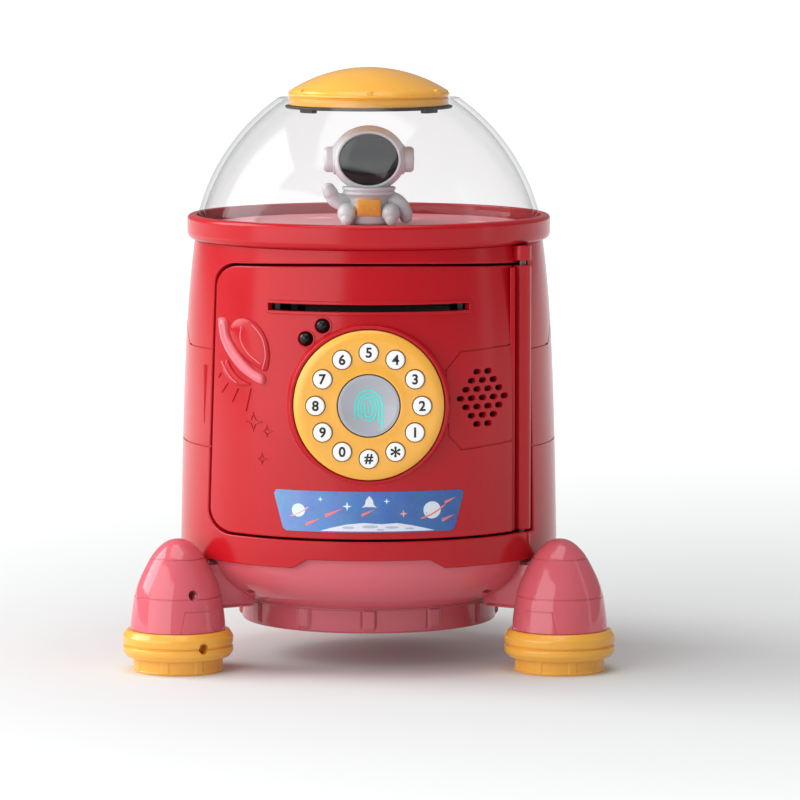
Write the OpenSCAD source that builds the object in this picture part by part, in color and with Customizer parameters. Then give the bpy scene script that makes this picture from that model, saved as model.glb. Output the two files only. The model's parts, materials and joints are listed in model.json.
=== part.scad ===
// Rocket-shaped savings bank: a round shell on three boosters under a clear dome, with a
// hinged door that carries a dial keypad, a motor banknote feed and a lock.
// All sizes are in millimetres. +Z is up, the floor is z = 0 and the door faces -Y.
// Modules are drawn about the rocket's own axis; place() then centres the whole outline.

/* [Shell] */
// Outside radius of the shell at its bottom edge
shell_r = 76.3; // [76:0.1:76.6]
// How much the shell's barrel curve pulls in at its top
shell_taper = 3.4; // [3.2:0.1:3.6]
// Wall thickness of the shell and the door
wall = 2.4; // [2.2:0.1:2.5]
// Height of the shell's bottom edge
shell_z0 = 44.3; // [44.2:0.1:44.6]
// Height where the shell meets the rim
shell_z1 = 170; // [169.8:0.1:170]
// Outside radius of the rim that holds the dome
rim_r = 73.4; // [73:0.1:74]
// Height of the rim's top edge
rim_top = 179.8; // [179.6:0.1:180.5]

/* [Dome] */
// Radius of the dome's curved side in section
dome_arc_r = 82.8; // [82.6:0.1:83]
// Wall thickness of the clear dome
dome_wall = 2; // [1.6:0.1:2.2]
// Height of the cap's highest point
cap_top = 238.9; // [238.5:0.1:239.5]
// Radius of the cap's rim
cap_r = 32.6; // [32:0.1:33]

/* [Door] */
// Height of the door's bottom edge
door_z0 = 56.4; // [56.2:0.1:56.8]
// Height of the door's top edge at its middle
door_z1 = 163.7; // [163.2:0.1:163.8]
// Gap between the door and the shell
door_gap = 0.9; // [0.8:0.05:1]
// Radius of the hinge barrel
barrel_r = 3.75; // [3.6:0.05:3.8]
// Radius of the steel hinge pin
pin_r = 1.5; // [1.4:0.05:1.6]
// Height of the banknote slot
slot_z = 147.2; // [147:0.1:147.4]
// Width of the banknote slot
slot_w = 78.6; // [76:0.1:79]

/* [Dial] */
// Height of the dial's centre
dial_z = 109.5; // [109:0.1:110]
// Outside radius of the yellow dial ring
dial_r = 29.55; // [29.4:0.05:29.7]
// Radius of the circle that the keys stand on
key_pitch_r = 20.9; // [20.7:0.1:21]
// Radius of a key
key_r = 3.6; // [3.5:0.05:3.65]
// Radius of the fingerprint button
finger_r = 12.1; // [11.9:0.1:12.2]

/* [Base] */
// Radius of the nozzle ring under the bowl
nozzle_r = 51.7; // [51:0.1:52]
// Distance of each booster's axis from the rocket's axis
booster_pitch_r = 88; // [87.8:0.1:88.2]
// Largest radius of a booster's yellow foot
foot_r = 22.15; // [21.8:0.05:22.3]

/* [Hidden] */
$fn = 64;
KEYS = ["5", "4", "3", "2", "1", "star", "hash", "0", "9", "8", "7", "6"];
SIDES = ["back", "left", "right"];

RED = "crimson";
PINK = "palevioletred";
YELLOW = "goldenrod";
eps = 0.01;
// Radial clearance of a running fit
fit = 0.05;
// Straight part of the shell's taper, radius lost per millimetre of height
shell_lean = 0.02;

// Hinge axis, seen from above
hinge_x = 60.8;
hinge_y = -40;
column_x = hinge_x - barrel_r;
jamb_r = barrel_r + 0.95;
opening_x = hinge_x + jamb_r;
barrel_z1 = 162;
knuckle_z0 = 163.8;

// Planes of the dial, front to back
collar_y = -76;
dial_y = -78.4;
key_y = -79.2;
recess_y = -72.5;
collar_back_y = -70.3;
membrane_y = -66;
board_y = -64.4;
liner_y = -43.4;
liner_wall = 2;
liner_x = 53;
liner_z0 = 60;
liner_z1 = 157;

// Banknote feed
feed_y = -54;
feed_r = 6;
press_r = 4;
feed_gap = 0.15;
feed_z = slot_z - feed_gap - feed_r;
press_z = slot_z + feed_gap + press_r;
gear_module = 0.8;
gear_teeth = 18;
pinion_teeth = 12;
gear_x = -30.6;
gear_w = 2.6;
motor_z = feed_z - gear_module * (gear_teeth + pinion_teeth) / 2;

// Outline of the whole rocket along Y, used to put the origin under its middle
back_reach = booster_pitch_r + foot_r;
axis_y = -(back_reach + key_y) / 2;

// Middle of the dome's arc, a little past the axis
dome_arc_x = -11;
dome_arc_z = 158.8;

module place() translate([0, axis_y, 0]) children();

function steps(a, b, n) = [for (i = [0:n]) a + (b - a) * i / n];
function shell_out(z) = shell_r - shell_lean * max(0, z - 49) - shell_taper * pow(max(0, z - 49) / 120, 4);
function arc(cx, cy, r, a0, a1, n = 8) = [for (a = steps(a0, a1, n)) [cx + r * cos(a), cy + r * sin(a)]];

// Ring between two distances from the shell's outer face
module shell_band(z0, z1, inner, outer, n = 12)
    rotate_extrude($fn = 96)
        polygon(concat(
            [for (z = steps(z0, z1, n)) [shell_out(z) + outer, z]],
            [for (z = steps(z1, z0, n)) [shell_out(z) + inner, z]]));

// Everything closer to the axis than the shell's outer face plus a distance
module shell_core(z0, z1, reach, n = 12)
    rotate_extrude($fn = 96)
        polygon(concat([[0, z0]], [for (z = steps(z0, z1, n)) [shell_out(z) + reach, z]], [[0, z1]]));

// A shape drawn in X and Z, cut forwards from y1 to y0
module front(y0, y1) translate([0, y1, 0]) rotate([90, 0, 0]) linear_extrude(y1 - y0) children();

// A cylinder along Y from y0 to y1
module pin_y(x, z, r, y0, y1) translate([x, y1, z]) rotate([90, 0, 0]) cylinder(r = r, h = y1 - y0);

// A cylinder along X from x0 to x1
module pin_x(y, z, r, x0, x1) translate([x0, y, z]) rotate([0, 90, 0]) cylinder(r = r, h = x1 - x0);

module box(x, y, z) translate([x[0], y[0], z[0]]) cube([x[1] - x[0], y[1] - y[0], z[1] - z[0]]);

// Door outline in X and Z, grown by g on its free sides, with its right edge at x1
module door_outline(g, x1) {
    top_r = 960;
    left_top = -60.6 - g;
    left_bottom = -63.3 - g;
    corner = 9;
    top_z = door_z1 - top_r + sqrt(top_r * top_r - 52 * 52) + g;
    polygon(concat(
        [[x1, door_z0 - g]],
        [for (x = steps(x1, left_top + corner, 10)) [x, door_z1 + g - top_r + sqrt(top_r * top_r - x * x)]],
        arc(left_top + corner, top_z - corner, corner, 95, 178),
        arc(left_bottom + corner, door_z0 - g + corner, corner, 182, 270)));
}

// Slot with round ends, lying along X
module slot2d(w, h) {
    square([w - h, h], center = true);
    for (s = [-1, 1]) translate([s * (w - h) / 2, 0]) circle(h / 2);
}

// Groove cut round the shell between two angles from the front
module ring_groove(z, a0, a1)
    rotate([0, 0, a0]) rotate_extrude(angle = a1 - a0, $fn = 96)
        translate([shell_out(z) - 0.7, z - 0.45]) square([3, 0.9]);

module coin_slot() box([-15, 15], [60, 90], [149.4, 152.6]);

module body_shell() color(RED) difference() {
    union() {
        difference() {
            shell_band(shell_z0, shell_z1, -wall, 0);
            front(-90, 0) door_outline(door_gap, column_x + 1);
            front(-90, hinge_y) door_outline(door_gap, opening_x);
            translate([hinge_x, hinge_y, door_z0 - door_gap]) cylinder(r = jamb_r, h = knuckle_z0 - door_z0);
            front(-90, 0) polygon([[-30.5, 40], [-30.5, shell_z0], [-24.4, 47.9],
                [24.4, 47.9], [30.5, shell_z0], [30.5, 40]]);
            coin_slot();
            shell_lines();
        }
        hinge_knuckle(knuckle_z0, shell_z1);
        hinge_knuckle(50, door_z0 - 1.2);
        hinge_jamb();
        strike();
        coin_chute();
    }
    translate([hinge_x, hinge_y, 49]) cylinder(r = pin_r + fit, h = shell_z1 - 49 - 0.2);
}

// Engraved lines round the shell
module shell_lines() {
    ring_groove(89.4, -33, 218);
    ring_groove(137.5, -4, 184);
    for (s = [0, 1]) mirror([s, 0, 0]) {
        ring_groove(128.5, -32, -14);
        rotate([0, 0, -9]) translate([shell_out(133) - 0.7, 0, 133]) rotate([35, 0, 0])
            translate([0, -7.8, -0.45]) cube([3, 15.6, 0.9]);
    }
}

// Fixed knuckle on the shell, with a web that ties it to the wall
module hinge_knuckle(z0, z1) {
    translate([hinge_x, hinge_y, z0]) cylinder(r = barrel_r, h = z1 - z0);
    intersection() {
        box([column_x, hinge_x + barrel_r], [hinge_y, hinge_y + 8], [z0, z1]);
        shell_core(z0 - 1, z1 + 1, -0.2);
    }
}

// Curved wall behind the hinge barrel that closes the shell there
module hinge_jamb() intersection() {
    translate([hinge_x, hinge_y, door_z0 - 2]) rotate([0, 0, -60])
        rotate_extrude(angle = 170) translate([jamb_r, 0]) square([1.7, knuckle_z0 - door_z0 + 4]);
    shell_core(50, 169, -0.2);
}

// Strike plate inside the shell that the lock bolt slides behind
module strike() intersection() {
    box([-70, -58.8], [-37, -35.2], [98, 122]);
    shell_core(90, 130, -0.4);
}

// Short chute that guides coins in from the rear slot
module coin_chute() difference() {
    intersection() {
        box([-17, 17], [60, 76], [147.4, 154.6]);
        shell_core(140, 160, -1);
    }
    coin_slot();
}

module rim_ring() color(RED) rotate_extrude($fn = 96) polygon(concat(
    [[62, shell_z1]],
    arc(rim_r - 2.6, shell_z1 + 2.6, 2.6, -90, 0, 5),
    arc(rim_r - 2.6, rim_top - 2.6, 2.6, 0, 90, 5),
    [[69.6, rim_top], [69.6, 172.2], [62, 172.2]]));

function dome_r(z, r) = dome_arc_x + sqrt(r * r - pow(z - dome_arc_z, 2));

module dome() color("lightcyan", 0.3) {
    foot_z = 172.3;
    z0 = rim_top + 0.6;
    z1 = 226.6;
    inner_r = dome_arc_r - dome_wall;
    rotate_extrude($fn = 96) polygon(concat(
        [[69.2, foot_z]],
        [for (z = steps(z0, z1, 16)) [dome_r(z, dome_arc_r), z]],
        [for (z = steps(z1, z0, 16)) [dome_r(z, inner_r), z]],
        [[67.1, foot_z]]));
}

module dome_cap() color(YELLOW) {
    ball_r = 59.1;
    rim_z = 229.2;
    skirt_r = 32.2;
    skirt_z0 = 223.6;
    difference() {
        union() {
            rotate_extrude($fn = 96) polygon(concat(
                [[0, rim_z - 2], [cap_r, rim_z - 2]],
                [for (a = steps(asin(cap_r / ball_r), 0, 10))
                    [ball_r * sin(a), cap_top - ball_r + ball_r * cos(a)]]));
            translate([0, 0, skirt_z0]) cylinder(r = skirt_r, h = rim_z - skirt_z0, $fn = 96);
        }
        translate([0, 0, skirt_z0 - 1]) cylinder(r = skirt_r - 2, h = 5, $fn = 96);
    }
    // Ribs near the cap's rim
    for (a = [30:60:330]) rotate([0, 0, a]) translate([cap_r - 3.4, -1.6, rim_z]) cube([3, 3.2, 1.7]);
    // Snap hooks under the skirt
    for (a = [34:56:326]) rotate([0, 0, a]) translate([skirt_r - 3, -4, skirt_z0 - 1.2]) cube([2.6, 8, 1.4]);
}

module dome_floor() color(PINK) {
    difference() {
        translate([0, 0, 172.3]) cylinder(r = 65.6, h = 3.3, $fn = 96);
        for (c = [[30, -18, 7], [-34, -8, 8], [12, 30, 10], [-20, 36, 6], [44, 12, 5]])
            translate([c[0], c[1], 174.9]) cylinder(r = c[2], h = 2);
    }
}

// Small figure that sits on the floor under the dome
module astronaut_body() color("gainsboro") {
    rotate_extrude() polygon([[0, 175.7], [9.6, 175.7], [9.8, 178], [8.2, 181], [7.8, 185.4],
        [9, 186.6], [11, 188], [11, 190.2], [9, 191], [0, 191]]);
    for (s = [-1, 1]) {
        pin_y(s * 9, 179.9, 4.1, -12.4, 2);
        pin_x(-3.2, 184.6, 3.6, s > 0 ? 6 : -14.6, s > 0 ? 14.6 : -6);
    }
    translate([-14.4, -3.2, 184.6]) rotate([0, -18, 0]) cylinder(r = 3, h = 7);
    translate([14.2, -3.2, 179]) cylinder(r = 3, h = 5.6);
    box([-4.7, 4.7], [-9.9, -6], [179.4, 185.6]);
}

module astronaut_helmet() color("whitesmoke") {
    difference() {
        translate([0, 0, 202]) sphere(13.4);
        astronaut_visor_cut(10.9);
        translate([0, 0, 180]) cylinder(r = 11.2, h = 11);
    }
    for (s = [-1, 1]) pin_x(0.5, 201.6, 5, s > 0 ? 12.6 : -18.6, s > 0 ? 18.6 : -12.6);
}

module astronaut_visor_cut(r) translate([0, -8.2, 201.2]) rotate([90, 0, 0]) cylinder(r = r, h = 10);

module astronaut_visor() color("black") intersection() {
    translate([0, 0, 202]) sphere(13.2);
    astronaut_visor_cut(10.8);
}

// Bowl that closes the shell from below; grow makes a copy for cutting the boosters' arms
module bowl_outside(grow) polygon([
    [0, 49.5], [73.3 + grow, 49.5], [73.3 + grow, 45.5], [72.9 + grow, 42.1], [71.6 + grow, 39.4],
    [69.4 + grow, 36.4], [65.6 + grow, 32.8], [61.4 + grow, 29.9], [57.4 + grow, 27.7],
    [nozzle_r + grow, 25.6], [0, 25.6]]);

module lower_bowl() color(PINK) difference() {
    rotate_extrude($fn = 96) bowl_outside(0);
    rotate_extrude($fn = 96) polygon([
        [0, 53], [71.2, 53], [71.2, 46], [70.8, 42.6], [69.5, 40.3], [67.4, 37.7],
        [63.9, 34.5], [60, 31.9], [56.4, 30], [50.4, 28], [0, 28]]);
    battery_opening(0.6);
    for (a = [-49, 49]) rotate([0, 0, a]) translate([0, -58.5, 31]) rotate([20, 0, 0])
        translate([-4, -6, -1]) cube([8, 12, 2]);
    at_case_screws() translate([0, 0, 20]) cylinder(r = 1.3, h = 10);
}

module battery_opening(g) box([-31 - g, 31 + g], [-27 - g, 27 + g], [20, 30]);

// Four screws hold the bowl to the posts under the money floor
module at_case_screws() for (a = [45:90:315]) rotate([0, 0, a]) translate([42, 0, 0]) children();

module nozzle_ring() color(PINK) {
    z0 = 15.5;
    z1 = 25.6;
    rotate_extrude($fn = 96) polygon(concat(
        [[46, z1]],
        [[45, z0 + 1]],
        arc(nozzle_r - 3, z0 + 3, 3, -90, 0, 5),
        [[nozzle_r, z1]]));
    for (a = [0:30:330]) rotate([0, 0, a]) translate([nozzle_r - 0.6, -2.35, z0 + 2.6])
        cube([1.7, 4.7, z1 - z0 - 3.6]);
}

module money_floor() color("dimgray") difference() {
    union() {
        translate([0, 0, 52.1]) cylinder(r = 73.5, h = 1.9, $fn = 96);
        at_case_screws() translate([0, 0, 28.1]) cylinder(r = 3.2, h = 24.5);
    }
    at_case_screws() translate([0, 0, 27]) cylinder(r = 1.2, h = 12);
    translate([hinge_x, hinge_y, 50]) cylinder(r = barrel_r + 0.6, h = 8);
    box([52, 80], [-60, -31.5], [50, 60]);
}

module battery_tray() color("dimgray") difference() {
    box([-30, 30], [-26, 26], [28.1, 45.2]);
    box([-28.4, 28.4], [-24.4, 24.4], [20, 43.6]);
}

// Three AA cells side by side, and the sheet contacts at their ends
module cell_places() for (i = [-1:1]) translate([0, i * 15, 35.9]) children();

module battery_cells() color("steelblue") cell_places() {
    rotate([0, 90, 0]) cylinder(r = 7.1, h = 48, center = true);
    pin_x(0, 0, 2.6, 24 - eps, 25.2);
}

module battery_contacts() color("silver") {
    for (s = [-1, 1]) translate([s * 27.2, 0, 35.9]) cube([0.8, 44, 11], center = true);
    for (i = [-1:1]) pin_x(i * 15, 35.9, 3, -26.8 - eps, -24.2);
}

module main_board() color("seagreen") {
    box([-32, 32], [-22, 22], [46.6, 48.2]);
    for (p = [[-18, -8], [4, 6], [20, -10]]) box([p[0], p[0] + 8], [p[1], p[1] + 8], [48.2 - eps, 50]);
}

module hinge_pin() color("silver")
    translate([hinge_x, hinge_y, 50.3]) cylinder(r = pin_r, h = shell_z1 - 50.6);

// Self-tapping screw with its head at the origin and its shank along +Z
module screw(head_r, r, h) {
    difference() {
        cylinder(r = head_r, h = 1.6);
        for (a = [0, 90]) rotate([0, 0, a]) cube([head_r * 1.2, 0.6, 1.6], center = true);
    }
    translate([0, 0, 1.6 - eps]) cylinder(r = r, h = h);
}

module case_screws() color("silver") at_case_screws() translate([0, 0, 23.9]) screw(2.2, 1.1, 11);

// The battery door rests in the bowl's floor and drops out downwards
module battery_cover() color(PINK) {
    difference() {
        union() {
            box([-31, 31], [-27, 27], [25.7, 27.7]);
            box([-36, 36], [-8, 8], [23.4, 25.2]);
            box([-30, 30], [-8, 8], [25.2 - eps, 25.8]);
        }
        for (y = [-21:6:21]) if (abs(y) > 10) box([-24, 24], [y - 0.6, y + 0.6], [25, 26.2]);
    }
}

// Boosters: each one is two pink halves split along the radial plane, and a yellow foot
module at_booster(i) rotate([0, 0, 90 + 120 * i]) translate([booster_pitch_r, 0, 0]) children();

// Nose-cone outlines: radius and height, from the foot up to the tip
module booster_outside() polygon([
    [0, 16.9], [19.1, 16.9], [18.6, 22], [17.4, 30], [16.5, 33.4], [15.3, 36.6], [13.6, 40.2],
    [11.6, 44], [9.8, 46.8], [7.7, 49.2], [5.2, 51.3], [2.6, 52.5], [0, 52.9]]);

module booster_inside() polygon([
    [0, 16], [17, 16], [16.6, 22], [15.4, 30], [13.6, 35.4], [11.4, 40], [8, 45.6], [4, 49.4], [0, 50.6]]);

module booster_half(i, side) color(PINK) difference() {
    at_booster(i) difference() {
        union() {
            difference() {
                union() {
                    booster_shell(side);
                    booster_arm(side);
                }
                rotate_extrude() booster_inside();
            }
            pin_y(1.8, 32, 3.2, side > 0 ? 0 : -15.8, side > 0 ? 15.8 : 0);
        }
        pin_y(1.8, 32, 1.8, 4, 30);
        pin_y(1.8, 32, 1.15, -8, 5);
    }
    rotate_extrude($fn = 96) bowl_outside(0.1);
}

// Half of the nose cone with the two grooves round it
module booster_shell(side) difference() {
    rotate([0, 0, side > 0 ? 0 : 180]) rotate_extrude(angle = 180) booster_outside();
    for (g = [[30.2, 16.9], [45.3, 10.4]]) difference() {
        translate([0, 0, g[0] - 0.35]) cylinder(r = 30, h = 0.7);
        translate([0, 0, g[0] - 2]) cylinder(r = g[1], h = 4);
    }
}

// Half of the hollow arm that ties a booster to the bowl
module booster_arm(side) difference() {
    box([-34, -10.5], side > 0 ? [0, 5] : [-5, 0], [24, 43.9]);
    box([-35, -9], side > 0 ? [-1, 3.2] : [-3.2, 1], [26, 41.9]);
}

module booster_foot(i) color(YELLOW) at_booster(i) difference() {
    rotate_extrude() polygon([
        [0, 0], [17.4, 0], [18.2, 0.8], [18.2, 5.7], [20.6, 5.9], [21.8, 6.9], [foot_r, 8.2],
        [foot_r - 0.1, 9.8], [21.3, 10.6], [foot_r - 0.1, 11.4], [foot_r, 14],
        [21.6, 15.7], [20.2, 16.7], [19.2, 16.8], [15.4, 16.8], [15.4, 2], [0, 2]]);
    pin_y(0, 11, 1.7, 16, 30);
}

module booster_screws() color("silver")
    for (i = [0:2]) at_booster(i) translate([1.8, 5.7, 32]) rotate([90, 0, 0]) screw(1.7, 1.1, 10);

// Door: a curved panel with the dial's collar, the banknote slot, the grille and a hinge barrel
module door_panel() color(RED) difference() {
    union() {
        intersection() {
            shell_band(door_z0 - 1, door_z1 + 2, -wall, 0);
            front(-90, 0) door_outline(0, column_x);
        }
        dial_collar();
        slot_rim();
        door_barrel();
        door_posts();
    }
    at_liner_screws() translate([0, 0, -1]) cylinder(r = 1.15, h = 9);
    front(-90, -50) translate([0, slot_z]) square([slot_w, 2.8], center = true);
    front(-90, recess_y) translate([0, dial_z]) circle(dial_r + 0.35, $fn = 96);
    pin_y(0, dial_z, 26.4, -80, -60);
    for (p = led_places()) pin_y(p[0], p[1], 2.8, -90, -60);
    front(-80, -40) translate([45, dial_z + 1.5]) grille();
    panel_groove();
    translate([hinge_x, hinge_y, 40]) cylinder(r = pin_r + fit, h = 140);
}

// Flat boss round the dial, standing out of the curved panel
module dial_collar() {
    pin_y(0, dial_z, 31.3, collar_y, collar_back_y);
    difference() {
        pin_y(0, dial_z, 31.3, collar_y, -60);
        shell_core(70, 150, -wall / 2);
    }
}

// Posts that the liner's screws bite into
module door_posts() intersection() {
    at_liner_screws() cylinder(r = 3.2, h = 16);
    shell_core(50, 140, -0.5);
}

// Places of the liner's screws, with +Z pointing into the door from the liner's front
module at_liner_screws() for (x = [-46, 46], z = [66, 128])
    translate([x, liner_y - 0.2, z]) rotate([90, 0, 0]) children();

// Raised lip round the banknote slot
module slot_rim() intersection() {
    shell_band(140, 155, -0.2, 0.8);
    front(-90, 0) translate([0, slot_z]) square([slot_w + 2.2, 5], center = true);
}

module door_barrel() {
    translate([hinge_x, hinge_y, door_z0]) cylinder(r = barrel_r, h = barrel_z1 - door_z0);
    intersection() {
        box([column_x - 1.2, column_x + 1], [-55, hinge_y + 1.5], [door_z0, 161.5]);
        shell_core(50, 165, -0.5);
    }
}

// Speaker grille: rows of short slots in a hexagon
module grille() {
    rows = [2, 3, 4, 5, 4, 3, 2];
    for (j = [0:6], i = [0:rows[j] - 1])
        translate([4.4 * (i - (rows[j] - 1) / 2), 3.44 * (j - 3)]) slot2d(3, 2.1);
}

// Engraved line that frames the speaker grille
module panel_groove() intersection() {
    shell_band(80, 140, -0.6, 3);
    front(-90, -30) difference() {
        grille_frame(0);
        grille_frame(0.8);
    }
}

module grille_frame(g) polygon([
    [column_x + 1, 131.5 - g], [36.2, 130 - g], [29.8 + g, 122.5], [31 + g, 96.6],
    [36.4, 90.6 + g], [column_x + 1, 92.5 + g]]);

function led_places() = [[-24.7, 135.1], [-18.1, 140.3]];

module indicator_leds() color("black") for (p = led_places()) {
    y = -sqrt(pow(shell_out(p[1]), 2) - p[0] * p[0]);
    translate([p[0], y + 1, p[1]]) sphere(2.6);
    pin_y(p[0], p[1], 2.6, y + 1, y + 5);
}

// Flat back of the door: closes the space that holds the electronics
module door_liner() color("dimgray") difference() {
    intersection() {
        difference() {
            box([-liner_x, liner_x], [-80, liner_y + liner_wall], [liner_z0, liner_z1]);
            box([-liner_x + 2, liner_x - 2], [-90, liner_y], [liner_z0 + 2, liner_z1 - 1.4]);
        }
        shell_core(door_z0, door_z1, -wall - 0.3);
    }
    front(-50, -30) translate([0, slot_z]) square([82, 6], center = true);
    at_liner_screws() cylinder(r = 1.3, h = 10, center = true);
}

module liner_screws() color("silver") at_liner_screws()
    translate([0, 0, -liner_wall - 2]) screw(2.2, 1.1, 8);

module dial_ring() color(YELLOW) difference() {
    rotate([90, 0, 0]) translate([0, dial_z, 0]) rotate_extrude($fn = 96) polygon(concat(
        [[finger_r + 0.4, -recess_y + 0.1]],
        [[dial_r, -recess_y + 0.1]],
        arc(dial_r - 1.6, -dial_y - 1.6, 1.6, 0, 90, 5),
        arc(finger_r + 1.4, -dial_y - 1, 1, 90, 180, 4)));
    for (i = [0:11]) key_place(i) cylinder(r = key_r + 0.35, h = 20, center = true);
}

// Key number i, clockwise from the top, with +Z pointing out of the dial
module key_place(i) translate([key_pitch_r * sin(30 * i), dial_y, dial_z + key_pitch_r * cos(30 * i)])
    rotate([90, 0, 0]) children();

module key(i) color("white") key_place(i) {
    rise = dial_y - key_y;
    foot = dial_y - membrane_y + 1.2;
    back = dial_y - recess_y - 0.3;
    translate([0, 0, back - 1]) cylinder(r = key_r, h = rise - back + 1);
    translate([0, 0, back - 1]) cylinder(r = key_r + 0.9, h = 1);
    translate([0, 0, foot]) cylinder(r = 2, h = back - foot);
}

module fingerprint_button() color("silver") translate([0, dial_y, dial_z]) rotate([90, 0, 0]) {
    foot = dial_y - membrane_y + 1.2;
    back = dial_y - recess_y - 0.3;
    dish_r = 60;
    difference() {
        translate([0, 0, back - 1]) cylinder(r = finger_r, h = 1.1 - back);
        translate([0, 0, dish_r - 1]) sphere(dish_r, $fn = 128);
    }
    translate([0, 0, back - 1]) cylinder(r = finger_r + 1.4, h = 1);
    translate([0, 0, foot]) cylinder(r = 4, h = back - foot - 0.5);
}

module key_membrane() color("gray") pin_y(0, dial_z, 25.6, membrane_y, board_y);

module keypad_board() color("seagreen") pin_y(0, dial_z, 29, board_y, board_y + 1.6);

module speaker() color("dimgray") {
    reach = 64.5;
    angle = 53.1;
    rotate([0, 0, -angle]) translate([reach, 0, dial_z + 1.5]) rotate([0, 90, 0]) {
        cylinder(r = 6.5, h = 2);
        translate([0, 0, 2 - eps]) cylinder(r = 11, h = 2.6);
    }
}

// Geared motor under the feed roller
module feed_motor() color("silver") {
    box([-27, -2], [feed_y - 6, feed_y + 6], [motor_z - 5, motor_z + 5]);
    pin_x(feed_y, motor_z, 1.8, -27.4, -27 + eps);
    pin_x(feed_y, motor_z, 1, -34, -27);
}

// Frame that leads a banknote from the slot between the rollers and out of the liner
module bill_guide() color("dimgray") difference() {
    union() {
        for (s = [-1, 1]) box([s > 0 ? 35 : -37, s > 0 ? 37 : -35], [-59, -44.6], [133, 155.3]);
        for (z = [slot_z - 3.4, slot_z + 1.6]) box([-37, 37], [-45.8, -44.6], [z, z + 1.8]);
    }
    pin_x(feed_y, feed_z, 2 + fit, -40, 40);
    pin_x(feed_y, press_z, 1.5 + fit, -40, 40);
    difference() {
        box([-60, 60], [-80, -40], [100, 170]);
        shell_core(100, 165, -wall - 0.3);
    }
}

module feed_roller() color("dimgray") {
    pin_x(feed_y, feed_z, 2, -38, 38);
    translate([gear_x, feed_y, feed_z]) rotate([0, 90, 0]) spur_gear(gear_teeth, gear_w, 0);
}

module roller_sleeve() color("black") difference() {
    pin_x(feed_y, feed_z, feed_r, -25, 32);
    pin_x(feed_y, feed_z, 2, -26, 33);
}

module pressure_roller() color("lightgray") {
    pin_x(feed_y, press_z, 1.5, -38, 38);
    pin_x(feed_y, press_z, press_r, -25, 32);
}

module motor_pinion() color("white") difference() {
    translate([gear_x - 0.2, feed_y, motor_z]) rotate([0, 90, 0])
        spur_gear(pinion_teeth, gear_w + 0.4, 180 / pinion_teeth);
    pin_x(feed_y, motor_z, 1 + fit, -40, -20);
}

// Spur gear along +Z with straight-flanked teeth that leave backlash; turn shifts its teeth
module spur_gear(teeth, width, turn) {
    pitch_r = gear_module * teeth / 2;
    tip_r = pitch_r + 0.85 * gear_module;
    root_r = pitch_r - 1.15 * gear_module;
    step = 360 / teeth;
    flank = [[0.3, root_r], [0.19, pitch_r], [0.09, tip_r]];
    tooth = concat([for (p = flank) [-p[0], p[1]]], [for (i = [2:-1:0]) flank[i]]);
    linear_extrude(width) polygon([for (i = [0:teeth - 1], p = tooth)
        p[1] * [cos(180 + turn + step * (i + p[0])), sin(180 + turn + step * (i + p[0]))]]);
}

module lock_case() color("dimgray") difference() {
    box([-56, -36], [liner_y + liner_wall, -27.5], [97, 123]);
    box([-60, -44], [-35.2, -29], [105.6, 114.4]);
}

module lock_bolt() color("silver") box([-56.6, -48.6], [-34.7, -29.5], [106.1, 113.9]);

// Printed label on the door
module label() color("royalblue") intersection() {
    shell_band(58, 77, 0, 0.3);
    front(-90, -30) polygon([[-36.2, 75.4], [-37.3, 74], [-33.8, 60.4], [-32.4, 59.3],
        [32.4, 59.3], [33.8, 60.4], [37.3, 74], [36.2, 75.4]]);
}

place() body_shell();
place() rim_ring();
place() dome();
place() dome_cap();
place() dome_floor();
place() astronaut_body();
place() astronaut_helmet();
place() astronaut_visor();
place() lower_bowl();
place() nozzle_ring();
place() money_floor();
place() battery_tray();
place() battery_contacts();
place() battery_cells();
place() main_board();
place() hinge_pin();
place() case_screws();
place() booster_screws();
place() battery_cover();
for (i = [0:2]) {
    place() booster_half(i, 1);
    place() booster_half(i, -1);
    place() booster_foot(i);
}
place() door_panel();
place() door_liner();
place() dial_ring();
place() key_membrane();
place() keypad_board();
place() indicator_leds();
place() speaker();
place() feed_motor();
place() bill_guide();
place() lock_case();
place() label();
place() liner_screws();
place() lock_bolt();
place() feed_roller();
place() roller_sleeve();
place() pressure_roller();
place() motor_pinion();
place() fingerprint_button();
for (i = [0:11]) place() key(i);
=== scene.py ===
"""Looks of the rocket savings bank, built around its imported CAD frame.

Shapes are worked out in millimetres about the rocket's own axis, with the door facing -Y, and
become metres in the shared frame when a piece is made. Most visible parts are curved sheets of
plastic: skin() lays an outline with holes, grooves and relief over a surface and gives the sheet
its thickness and rounded edges. lathe() turns the round parts.
"""
import json
from math import acos, asin, atan2, ceil, cos, degrees, hypot, pi, radians, sin, sqrt, tan

import bmesh
import bpy
import numpy as np
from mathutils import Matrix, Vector
from mathutils.geometry import delaunay_2d_cdt
from numpy.linalg import norm


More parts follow.
